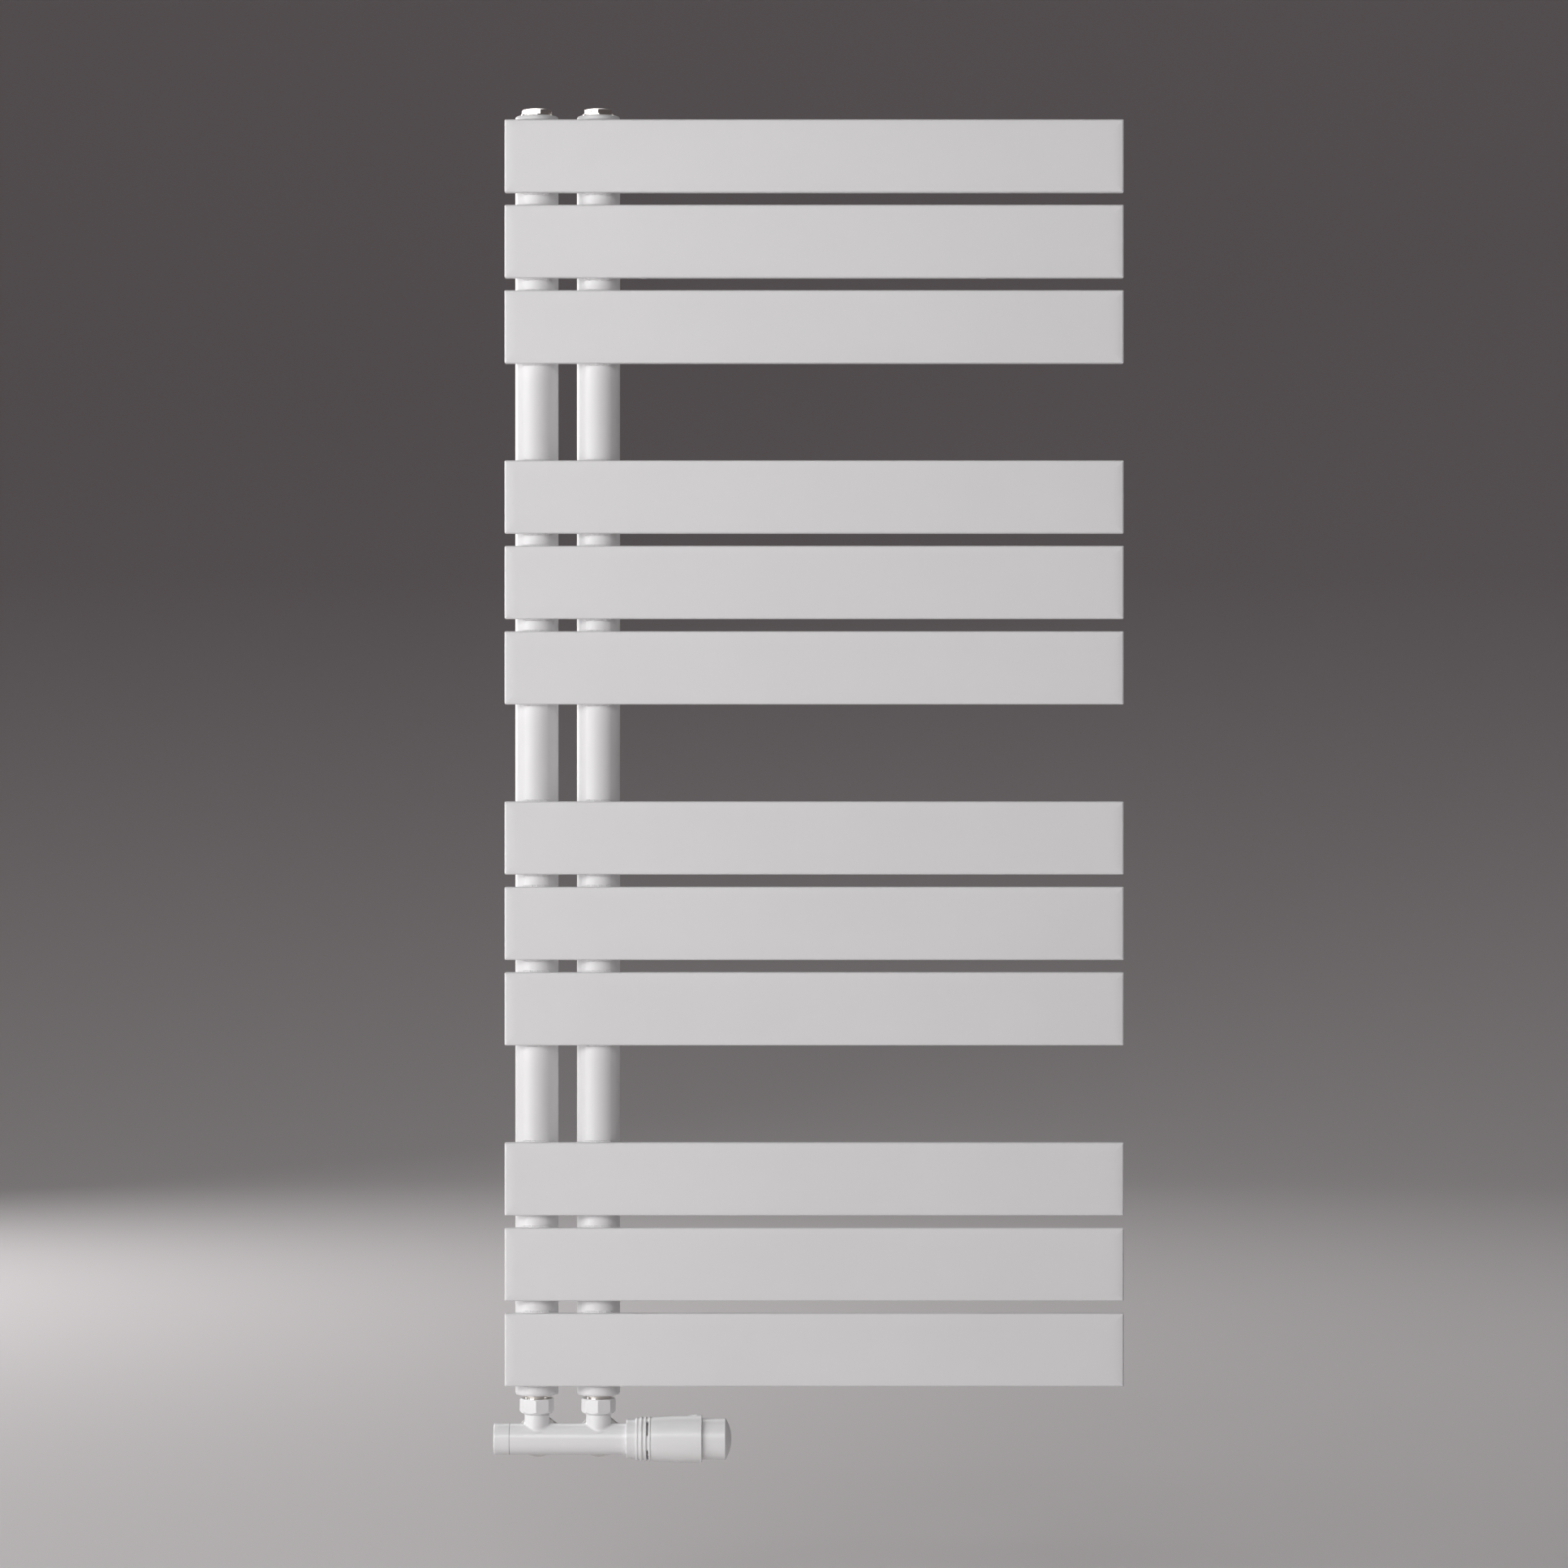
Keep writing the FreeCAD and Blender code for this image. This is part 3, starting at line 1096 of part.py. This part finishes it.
def add_unions(nodes):
    for name, x in (("return", RETURN_X), ("flow", FLOW_X)):
        nodes[f"tail_nipple_{name}"] = [tail_nipple(x)]
        nodes[f"union_nut_{name}"] = [union_nut(x)]
        nodes[f"pipe_nut_{name}"] = [pipe_nut(x)]
    nodes["nipple_seals"] = mouth_seals(COLLECTOR_FOOT, Z)
    nodes["union_gaskets"] = [union_gasket(x) for x in (RETURN_X, FLOW_X)]
    nodes["pipe_olives"] = [olive(x) for x in (RETURN_X, FLOW_X)]


def add_valve(nodes):
    nodes["valve_block"] = [valve_block()]
    nodes["lockshield_cap"] = [lockshield_cap()]
    names = ("lockshield_bonnet", "lockshield_spindle", "lockshield_ring", "lockshield_plug", "lockshield_seal")
    nodes.update({name: [solid] for name, solid in zip(names, lockshield_pieces())})
    names = ("thermostat_insert", "insert_gland", "gland_ring")
    nodes.update({name: [solid] for name, solid in zip(names, thermostat_insert())})
    names = ("valve_pin", "valve_plug", "valve_seal", "valve_spring")
    nodes.update({name: [solid] for name, solid in zip(names, valve_pin_pieces())})


def add_head(nodes):
    nodes["head_nut"] = [head_nut()]
    nodes["head_base"] = [head_base()]
    nodes["head_cage"] = [head_cage()]
    nodes["handwheel"] = [handwheel()]
    names = ("sensor_capsule", "push_pin", "sensor_cup", "overtravel_spring")
    nodes.update({name: [solid] for name, solid in zip(names, sensor_pieces())})


def add_brackets(nodes):
    names = ("bracket_bosses", "bracket_pins", "bracket_sockets", "bracket_rosettes", "bracket_grub_screws")
    sets = [bracket_pieces(x, z) for x, z in bracket_places()]
    nodes.update({name: list(solids) for name, solids in zip(names, zip(*sets))})


def main():
    nodes = {}
    add_radiator(nodes)
    add_top_fittings(nodes)
    add_unions(nodes)
    add_valve(nodes)
    add_head(nodes)
    add_brackets(nodes)
    os.makedirs("parts", exist_ok=True)
    for name, solids in nodes.items():
        shape = solids[0] if len(solids) == 1 else Part.makeCompound(solids)
        if not shape.isValid() or len(shape.Solids) != len(solids):
            raise ValueError(f"{name} has {len(shape.Solids)} solids, or isn't valid")
        shape.exportStep(os.path.join("parts", name + ".step"))
    print(len(nodes), "nodes,", sum(len(solids) for solids in nodes.values()), "solids")


main()
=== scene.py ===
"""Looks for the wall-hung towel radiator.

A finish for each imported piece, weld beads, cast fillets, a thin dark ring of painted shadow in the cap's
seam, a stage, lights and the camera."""

import json
import math

import bpy
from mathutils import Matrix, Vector


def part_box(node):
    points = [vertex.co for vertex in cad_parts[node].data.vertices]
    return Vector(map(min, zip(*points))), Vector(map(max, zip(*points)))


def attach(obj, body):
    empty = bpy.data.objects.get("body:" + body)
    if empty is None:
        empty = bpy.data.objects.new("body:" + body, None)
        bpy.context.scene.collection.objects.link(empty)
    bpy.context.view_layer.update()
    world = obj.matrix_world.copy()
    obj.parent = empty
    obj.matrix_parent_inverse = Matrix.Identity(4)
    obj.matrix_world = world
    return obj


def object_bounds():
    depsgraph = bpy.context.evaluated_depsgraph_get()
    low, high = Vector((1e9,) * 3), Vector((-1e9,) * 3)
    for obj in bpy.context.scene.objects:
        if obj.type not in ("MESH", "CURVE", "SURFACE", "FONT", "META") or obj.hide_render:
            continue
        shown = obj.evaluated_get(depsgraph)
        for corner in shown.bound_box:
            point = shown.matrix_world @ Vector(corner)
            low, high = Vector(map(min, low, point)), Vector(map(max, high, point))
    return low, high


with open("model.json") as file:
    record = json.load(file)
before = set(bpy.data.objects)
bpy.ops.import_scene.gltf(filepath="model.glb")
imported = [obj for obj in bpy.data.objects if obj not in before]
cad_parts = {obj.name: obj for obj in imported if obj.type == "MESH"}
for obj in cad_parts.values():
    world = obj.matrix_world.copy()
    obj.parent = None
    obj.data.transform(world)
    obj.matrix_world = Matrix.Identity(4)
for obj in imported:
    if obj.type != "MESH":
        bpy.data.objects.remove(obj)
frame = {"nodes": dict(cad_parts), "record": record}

cad_box = [list(corner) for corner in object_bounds()]

MM = 0.001
ALONG, TO_WALL, UP = Vector((1, 0, 0)), Vector((0, 1, 0)), Vector((0, 0, 1))

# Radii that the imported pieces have
BRACKET_BOSS_RADIUS = 9.0 * MM
VALVE_NECK_RADIUS = 10.05 * MM
VALVE_PORT_RADIUS = 10.5 * MM

# Weld beads
BEAD_RADIUS = 1.3 * MM
BRACKET_BEAD_RADIUS = 1.2 * MM
BEAD_RIPPLE = 1.9 * MM         # length of one ripple
BEAD_STEP = 0.45 * MM          # between sections
BEAD_SIDES = 10
BEAD_SWELL = 0.10              # ripple's height, of the radius
BEAD_SKEW = 0.7                # below 1, a ripple falls faster than it rises
WAVERS = ((0.05, 0.37), (0.04, 0.11))   # height, of the radius, and turns for each ripple
BEAD_PHASE = 1.7               # sets one panel's beads apart from the next one's
BRACKET_BEAD_PHASE = 90
BEAD_LEAST_SECTIONS = 8
BEAD_LEAST_RIPPLES = 3
SEAT_ARC_STEPS = 12
RING_STEPS = 48

# Cast fillets on the valve
FILLET_WIDTH = 1.3 * MM
FILLET_UNDERCUT = 0.02 * MM    # top edge, inside the branch's surface
FILLET_SINK = 0.5 * MM         # how far the closing edge lies under both surfaces
FILLET_SECTIONS = 96
FILLET_CURVE_STEPS = 8

# Seam of the lockshield cap: a thin dark ring of painted shadow in its gap
SEAM_HALF = 0.14 * MM
SEAM_PROUD = 0.02 * MM
SEAM_DEPTH = 0.6 * MM
SEAM_SECTIONS = 128

# Stage
FLOOR_COLOUR = (0.78, 0.75, 0.755)
BACKDROP_COLOUR = (0.46, 0.42, 0.43)
FLOOR_DROP = 0.16              # floor below the radiator
FLOOR_RADIUS = 5.0
BACKDROP_RADIUS = 9.0
BACKDROP_HEIGHT = 12.0
BACKDROP_CURVE = BACKDROP_RADIUS - FLOOR_RADIUS
BACKDROP_CURVE_STEPS = 16
STAGE_SIDES = 96
SHADE_START, SHADE_END = 0.02, 1.2   # heights over the floor between which its colour turns to the backdrop's

# Lights: name, place, target, width and height, power
LIGHTS = (
    ("key", (-3.0, -2.5, 0.3), (0, -0.05, 0), (3.0, 1.8), 88),
    ("side", (-3.9, -0.1, 0.4), (0, -0.05, 0), (1.2, 1.8), 14),
    ("front", (-0.9, -4.8, 1.9), (0, -0.05, -0.2), (2.4, 1.8), 53),
    ("back", (-0.6, 3.4, 3.2), (0, 1.6, -0.7), (3.0, 2.4), 34),
    ("rear_left", (-2.8, 3.2, 0.7), (0, 0, 0), (1.8, 1.8), 62),
    ("rear_right", (3.0, 2.2, 0.7), (0, 0, 0), (1.6, 1.8), 5),
)
WORLD_COLOUR = (1.0, 0.98, 0.98, 1.0)
WORLD_STRENGTH = 0.08

# Camera, level and square to the wall
CAMERA_PLACE = (-24.4 * MM, -4213.5 * MM, -25.1 * MM)
CAMERA_SENSOR = 36.0
CAMERA_LENS = 117.39
CAMERA_NEAR, CAMERA_FAR = 0.05, 60.0

NODES = frame["nodes"]
SLOT_OF = {row["node"]: row["material_slot"] for row in frame["record"]["subparts"]}


# ---------------------------------------------------------------- materials

class Shader:
    """A material with a Principled shader and short calls for the nodes that feed it."""

    def __init__(self, name, colour, roughness, metallic=0.0):
        self.material = bpy.data.materials.new(name)
        self.material.use_nodes = True
        self.nodes = self.material.node_tree.nodes
        self.links = self.material.node_tree.links
        self.shader = self.nodes["Principled BSDF"]
        self.material.diffuse_color = (*colour, 1.0)
        self.set("Base Color", (*colour, 1.0))
        self.set("Roughness", roughness)
        self.set("Metallic", metallic)
        self.colour = colour
        self.roughness = roughness
        self.place = self.node("ShaderNodeTexCoord").outputs["Object"]

    def set(self, socket, value):
        self.shader.inputs[socket].default_value = value

    def node(self, kind):
        return self.nodes.new(kind)

    def link(self, output, node, socket):
        self.links.new(output, node.inputs[socket])

    def noise(self, scale, detail=2.0, rough=0.5, stretch=None):
        """Noise over the piece, scale in features per metre."""
        noise = self.node("ShaderNodeTexNoise")
        noise.inputs["Scale"].default_value = scale
        noise.inputs["Detail"].default_value = detail
        noise.inputs["Roughness"].default_value = rough
        place = self.place
        if stretch:
            mapping = self.node("ShaderNodeMapping")
            mapping.inputs["Scale"].default_value = stretch
            self.link(place, mapping, "Vector")
            place = mapping.outputs["Vector"]
        self.link(place, noise, "Vector")
        return noise.outputs["Fac"]

    def ramp(self, factor, low, high, low_at=0.3, high_at=0.7):
        """A value or colour between low and high."""
        ramp = self.node("ShaderNodeValToRGB")
        ends = ramp.color_ramp.elements
        ends[0].position, ends[1].position = low_at, high_at
        ends[0].color, ends[1].color = (*low, 1.0), (*high, 1.0)
        self.link(factor, ramp, "Fac")
        return ramp.outputs["Color"]

    def mottle(self, factor, amount):
        """Base colour that drifts a little either way."""
        low = tuple(c * (1 - amount) for c in self.colour)
        high = tuple(min(c * (1 + amount), 1.0) for c in self.colour)
        self.link(self.ramp(factor, low, high), self.shader, "Base Color")

    def rough_drift(self, factor, amount):
        """Roughness that drifts a little either way."""
        low, high = self.roughness - amount, self.roughness + amount
        self.link(self.ramp(factor, (low,) * 3, (high,) * 3), self.shader, "Roughness")

    def bump(self, layers):
        """Bump from (height, depth in metres, strength) layers."""
        normal = None
        for height, distance, strength in layers:
            bump = self.node("ShaderNodeBump")
            bump.inputs["Distance"].default_value = distance
            bump.inputs["Strength"].default_value = strength
            self.link(height, bump, "Height")
            if normal is not None:
                self.link(normal, bump, "Normal")
            normal = bump.outputs["Normal"]
        self.link(normal, self.shader, "Normal")


def powder_coat(name, colour, roughness):
    """Satin powder coat: a fine orange peel over slow waves, and a faint drift in shade."""
    look = Shader(name, colour, roughness)
    look.set("Specular IOR Level", 0.5)
    look.set("Coat Weight", 0.12)
    look.set("Coat Roughness", 0.34)
    look.mottle(look.noise(9, 3), 0.012)
    look.rough_drift(look.noise(60, 3), 0.03)
    look.bump([(look.noise(1400, 2, 0.6), 0.00003, 0.35), (look.noise(160, 2), 0.00006, 0.25)])
    return look.material


def enamel(name, colour, roughness):
    """Gloss enamel over a cast and machined body."""
    look = Shader(name, colour, roughness)
    look.set("Coat Weight", 0.35)
    look.set("Coat Roughness", 0.2)
    look.mottle(look.noise(45, 2), 0.01)
    look.rough_drift(look.noise(120, 2), 0.03)
    look.bump([(look.noise(700, 2), 0.00002, 0.2), (look.noise(110, 2), 0.00004, 0.1)])
    return look.material


def moulded(name, colour, roughness):
    """Gloss moulded plastic with a little light let through."""
    look = Shader(name, colour, roughness)
    look.set("Specular IOR Level", 0.5)
    look.set("Subsurface Weight", 0.08)
    look.set("Subsurface Radius", (0.002, 0.0018, 0.0015))
    look.set("Subsurface Scale", 1.0)
    look.set("Coat Weight", 0.2)
    look.set("Coat Roughness", 0.2)
    look.mottle(look.noise(35, 2), 0.008)
    look.rough_drift(look.noise(260, 3), 0.02)
    look.bump([(look.noise(2600, 2, 0.6), 0.000005, 0.2)])
    return look.material


def bright_metal(name, colour, roughness, turned, drift=0.05):
    """Plated or turned metal: fine lines round the axis given by turned, and a drift in polish."""
    look = Shader(name, colour, roughness, 1.0)
    look.mottle(look.noise(90, 3), 0.05)
    look.rough_drift(look.noise(420, 3), drift)
    stretch = tuple(1.0 if axis == turned else 0.04 for axis in "XYZ")
    look.bump([(look.noise(6000, 2, 0.6, stretch), 0.000002, 0.35), (look.noise(500, 2), 0.000006, 0.2)])
    return look.material


def rubber(name, colour):
    """Matt black rubber with a fine grain."""
    look = Shader(name, colour, 0.62)
    look.mottle(look.noise(300, 3), 0.25)
    look.bump([(look.noise(1800, 3), 0.00003, 0.4)])
    return look.material


WHITE = (0.80, 0.795, 0.80)
LOOKS = {
    "white_coat": powder_coat("white_coat_look", WHITE, 0.44),
    "valve_white": enamel("valve_white_look", (0.88, 0.88, 0.885), 0.32),
    "white_plastic": moulded("white_plastic_look", (0.88, 0.88, 0.88), 0.34),
    "nickel": bright_metal("nickel_look", (0.80, 0.77, 0.72), 0.17, "Z", 0.03),
    "brass": bright_metal("brass_look", (0.72, 0.52, 0.24), 0.28, "X"),
    "steel": bright_metal("steel_look", (0.60, 0.60, 0.61), 0.26, "X"),
    "capsule_metal": bright_metal("capsule_look", (0.78, 0.78, 0.79), 0.3, "X"),
    "seal_rubber": rubber("seal_look", (0.018, 0.018, 0.02)),
}

# The nuts at the back are nickel too, but satin rather than polished
SATIN_NICKEL = bright_metal("satin_nickel_look", (0.86, 0.85, 0.83), 0.42, "Y")
OWN_LOOKS = {"pipe_nut_return": SATIN_NICKEL, "pipe_nut_flow": SATIN_NICKEL}


def finish_nodes():
    for name, piece in NODES.items():
        piece.data.materials.clear()
        piece.data.materials.append(OWN_LOOKS.get(name, LOOKS[SLOT_OF[name]]))


# ---------------------------------------------------------------- mesh helpers

def add_piece(name, vertices, faces, slot, body, smooth=True):
    """A new piece with a slot's finish, riding on a body."""
    mesh = bpy.data.meshes.new(name)
    mesh.from_pydata(vertices, [], faces)
    mesh.validate()
    mesh.update()
    if smooth:
        mesh.polygons.foreach_set("use_smooth", [True] * len(mesh.polygons))
    piece = bpy.data.objects.new(name, mesh)
    bpy.context.collection.objects.link(piece)
    mesh.materials.append(LOOKS[slot])
    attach(piece, body)


def loft(sections):
    """Faces between closed rings of equal length, with the last ring joined to the first."""
    vertices = [point for ring in sections for point in ring]
    size = len(sections[0])
    count = len(sections)
    faces = []
    for i in range(count):
        this, following = i * size, (i + 1) % count * size
        for k in range(size):
            beside = (k + 1) % size
            faces.append((this + k, this + beside, following + beside, following + k))
    return vertices, faces


def merge(parts):
    """One list of vertices and one of faces from several."""
    vertices, faces = [], []
    for more_vertices, more_faces in parts:
        start = len(vertices)
        vertices += more_vertices
        faces += [tuple(start + i for i in face) for face in more_faces]
    return vertices, faces


# ---------------------------------------------------------------- weld beads

def even_steps(points, step):
    """Points a step apart round a closed line, each with its direction and how far along it is."""
    line = points + points[:1]
    spans = [(b - a).length for a, b in zip(line, line[1:])]
    total = sum(spans)
    count = max(int(total / step), BEAD_LEAST_SECTIONS)
    found = []
    span, before = 0, 0.0
    for i in range(count):
        want = total * i / count
        while span < len(spans) - 1 and before + spans[span] < want:
            before += spans[span]
            span += 1
        share = (want - before) / spans[span] if spans[span] else 0.0
        found.append((line[span].lerp(line[span + 1], min(share, 1.0)), want))
    directions = []
    for i in range(count):
        directions.append((found[(i + 1) % count][0] - found[i - 1][0]).normalized())
    return [(point, way, at) for (point, at), way in zip(found, directions)], total


def bead(points, radius, phase):
    """A rippled weld bead round a closed line, a little thicker and thinner as it goes."""
    steps, total = even_steps(points, BEAD_STEP)
    ripples = max(round(total / BEAD_RIPPLE), BEAD_LEAST_RIPPLES)
    sections = []
    for point, way, at in steps:
        turn = 2 * math.pi * ripples * at / total
        saw = (turn / (2 * math.pi)) % 1.0
        swell = BEAD_SWELL * math.cos(2 * math.pi * saw ** BEAD_SKEW)
        waver = sum(
            height * math.sin(turn * pace + order * phase)
            for order, (height, pace) in enumerate(WAVERS, 1)
        )
        size = radius * (1 + swell + waver)
        side = way.cross(TO_WALL).normalized()
        up = side.cross(way).normalized()
        ring = []
        for k in range(BEAD_SIDES):
            angle = 2 * math.pi * k / BEAD_SIDES
            ring.append(point + side * math.cos(angle) * size + up * math.sin(angle) * size)
        sections.append(ring)
    return loft(sections)


def seat_line(x, axis_y, radius, back, low, high):
    """The line where a collector's flat seat meets one panel: two uprights and an arc at each end."""
    reach = math.sqrt(radius ** 2 - (back - axis_y) ** 2)
    half = math.asin(reach / radius)
    points = []
    for z, sign in ((high, 1), (low, -1)):
        for i in range(SEAT_ARC_STEPS + 1):
            angle = sign * (-half + 2 * half * i / SEAT_ARC_STEPS)
            points.append(Vector((x + radius * math.sin(angle), axis_y - radius * math.cos(angle), z)))
    return points


def seat_beads():
    """A bead round each place where a collector sits on a panel's back."""
    panels = [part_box(f"panel_{n:02d}") for n in range(1, 13)]
    for name in ("collector_return", "collector_flow"):
        low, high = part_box(name)
        x, axis_y = (low[0] + high[0]) / 2, (low[1] + high[1]) / 2
        radius = (high[0] - low[0]) / 2
        parts = []
        for number, (panel_low, panel_high) in enumerate(panels):
            back = panel_high[1]
            line = seat_line(x, axis_y, radius, back, panel_low[2], panel_high[2])
            parts.append(bead(line, BEAD_RADIUS, number * BEAD_PHASE))
        add_piece(f"seat_welds_{name.split('_')[1]}", *merge(parts), "white_coat", "radiator")


def ring_line(centre, radius):
    """Points round a circle that faces the wall."""
    points = []
    for i in range(RING_STEPS):
        angle = 2 * math.pi * i / RING_STEPS
        points.append(centre + ALONG * radius * math.cos(angle) + UP * radius * math.sin(angle))
    return points


def bracket_beads():
    """A bead round each bracket boss, on the panel's back."""
    low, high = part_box("bracket_bosses")
    radius = BRACKET_BOSS_RADIUS
    parts = []
    for x in (low[0] + radius, high[0] - radius):
        for z in (low[2] + radius, high[2] - radius):
            line = ring_line(Vector((x, low[1], z)), radius)
            parts.append(bead(line, BRACKET_BEAD_RADIUS, x * BRACKET_BEAD_PHASE))
    add_piece("bracket_welds", *merge(parts), "white_coat", "radiator")


# ---------------------------------------------------------------- cast fillets on the valve block

def fillet(centre, branch, branch_radius, body_radius):
    """A concave fillet where a branch leaves the valve's tube, which lies along X."""
    across = branch.cross(ALONG)
    sections = []
    for i in range(FILLET_SECTIONS):
        angle = 2 * math.pi * i / FILLET_SECTIONS

        def at(radius, lift):
            """A point over the tube's surface, at a radius from the branch's axis."""
            side = radius * math.sin(angle)
            height = math.sqrt(max(body_radius ** 2 - side ** 2, 0.0)) + lift
            return centre + ALONG * radius * math.cos(angle) + across * side + branch * height

        root = at(branch_radius, 0)
        top = at(branch_radius - FILLET_UNDERCUT, FILLET_WIDTH)
        foot = at(branch_radius + FILLET_WIDTH, 0.0)
        ring = []
        for k in range(FILLET_CURVE_STEPS + 1):
            t = k / FILLET_CURVE_STEPS
            ring.append(top * (1 - t) ** 2 + root * 2 * t * (1 - t) + foot * t ** 2)
        ring.append(at(branch_radius - FILLET_SINK, -FILLET_SINK))
        sections.append(ring)
    return loft(sections)


def valve_fillets():
    """A fillet round each neck and each port of the valve block."""
    centres = []
    for name in ("union_nut_return", "union_nut_flow"):
        low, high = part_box(name)
        centres.append(((low[0] + high[0]) / 2, (low[1] + high[1]) / 2))
    cap_low, cap_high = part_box("lockshield_cap")
    body_radius = (cap_high[2] - cap_low[2]) / 2
    axis_z = (cap_high[2] + cap_low[2]) / 2
    parts = []
    for x, y in centres:
        centre = Vector((x, y, axis_z))
        parts.append(fillet(centre, UP, VALVE_NECK_RADIUS, body_radius))
        parts.append(fillet(centre, TO_WALL, VALVE_PORT_RADIUS, body_radius))
    add_piece("valve_fillets", *merge(parts), "valve_white", "radiator")


def cap_seam_shadow():
    """A thin dark ring of painted shadow in the gap at the inner end of the lockshield cap."""
    low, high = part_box("lockshield_cap")
    x, y, z = high[0], (low[1] + high[1]) / 2, (low[2] + high[2]) / 2
    radius = (high[2] - low[2]) / 2
    profile = [
        (-SEAM_HALF, -SEAM_DEPTH),
        (-SEAM_HALF, SEAM_PROUD),
        (SEAM_HALF, SEAM_PROUD),
        (SEAM_HALF, -SEAM_DEPTH),
    ]
    sections = []
    for i in range(SEAM_SECTIONS):
        angle = 2 * math.pi * i / SEAM_SECTIONS
        sections.append([
            Vector((x + across, y + (radius + out) * math.cos(angle), z + (radius + out) * math.sin(angle)))
            for across, out in profile
        ])
    # The seal rubber finish gives this ring its dark colour as painted shadow in the seam; no seal sits
    # there.
    add_piece("cap_seam_shadow", *loft(sections), "seal_rubber", "radiator", smooth=False)


# ---------------------------------------------------------------- stage, lights, camera

def stage():
    """A plain pale floor that turns up into a far round backdrop."""
    floor_z = cad_box[0][2] - FLOOR_DROP
    look = Shader("stage_look", FLOOR_COLOUR, 0.9)
    look.set("Specular IOR Level", 0.1)
    split = look.node("ShaderNodeSeparateXYZ")
    look.link(look.place, split, "Vector")
    blend = look.node("ShaderNodeMapRange")
    blend.inputs["From Min"].default_value = floor_z + SHADE_START
    blend.inputs["From Max"].default_value = floor_z + SHADE_END
    look.link(split.outputs["Z"], blend, "Value")
    shade = look.ramp(blend.outputs["Result"], FLOOR_COLOUR, BACKDROP_COLOUR, 0.0, 1.0)
    look.link(shade, look.shader, "Base Color")
    profile = [(0.0, 0.0), (FLOOR_RADIUS, 0.0)]
    for i in range(1, BACKDROP_CURVE_STEPS + 1):
        angle = math.pi / 2 * i / BACKDROP_CURVE_STEPS
        reach, rise = BACKDROP_CURVE * math.sin(angle), BACKDROP_CURVE * (1 - math.cos(angle))
        profile.append((FLOOR_RADIUS + reach, rise))
    profile.append((BACKDROP_RADIUS, BACKDROP_HEIGHT))
    count = STAGE_SIDES
    vertices = [(0.0, 0.0, floor_z)]
    for radius, height in profile[1:]:
        for i in range(count):
            angle = 2 * math.pi * i / count
            vertices.append((radius * math.cos(angle), radius * math.sin(angle), floor_z + height))
    faces = [(0, 1 + i, 1 + (i + 1) % count) for i in range(count)]
    for ring in range(len(profile) - 2):
        for i in range(count):
            a, b = 1 + ring * count + i, 1 + ring * count + (i + 1) % count
            faces.append((a, a + count, b + count, b))
    mesh = bpy.data.meshes.new("floor")
    mesh.from_pydata(vertices, [], faces)
    mesh.polygons.foreach_set("use_smooth", [True] * len(mesh.polygons))
    mesh.materials.append(look.material)
    floor = bpy.data.objects.new("floor", mesh)
    bpy.context.collection.objects.link(floor)


def area_light(name, place, target, size, power):
    light = bpy.data.lights.new(name, "AREA")
    light.shape = "RECTANGLE"
    light.size, light.size_y = size
    light.energy = power
    lamp = bpy.data.objects.new(name, light)
    lamp.location = place
    lamp.rotation_euler = (Vector(target) - Vector(place)).to_track_quat("-Z", "Y").to_euler()
    bpy.context.collection.objects.link(lamp)


def lights():
    for row in LIGHTS:
        area_light(*row)
    world = bpy.data.worlds.new("world")
    bpy.context.scene.world = world
    world.use_nodes = True
    background = world.node_tree.nodes["Background"]
    background.inputs["Color"].default_value = WORLD_COLOUR
    background.inputs["Strength"].default_value = WORLD_STRENGTH


def camera():
    data = bpy.data.cameras.new("camera")
    data.sensor_width = CAMERA_SENSOR
    data.lens = CAMERA_LENS
    data.clip_start = CAMERA_NEAR
    data.clip_end = CAMERA_FAR
    eye = bpy.data.objects.new("camera", data)
    eye.location = CAMERA_PLACE
    eye.rotation_euler = (math.pi / 2, 0, 0)
    bpy.context.collection.objects.link(eye)
    bpy.context.scene.camera = eye


bpy.context.scene.view_settings.view_transform = "Standard"
finish_nodes()
seat_beads()
bracket_beads()
valve_fillets()
cap_seam_shadow()
stage()
lights()
camera()
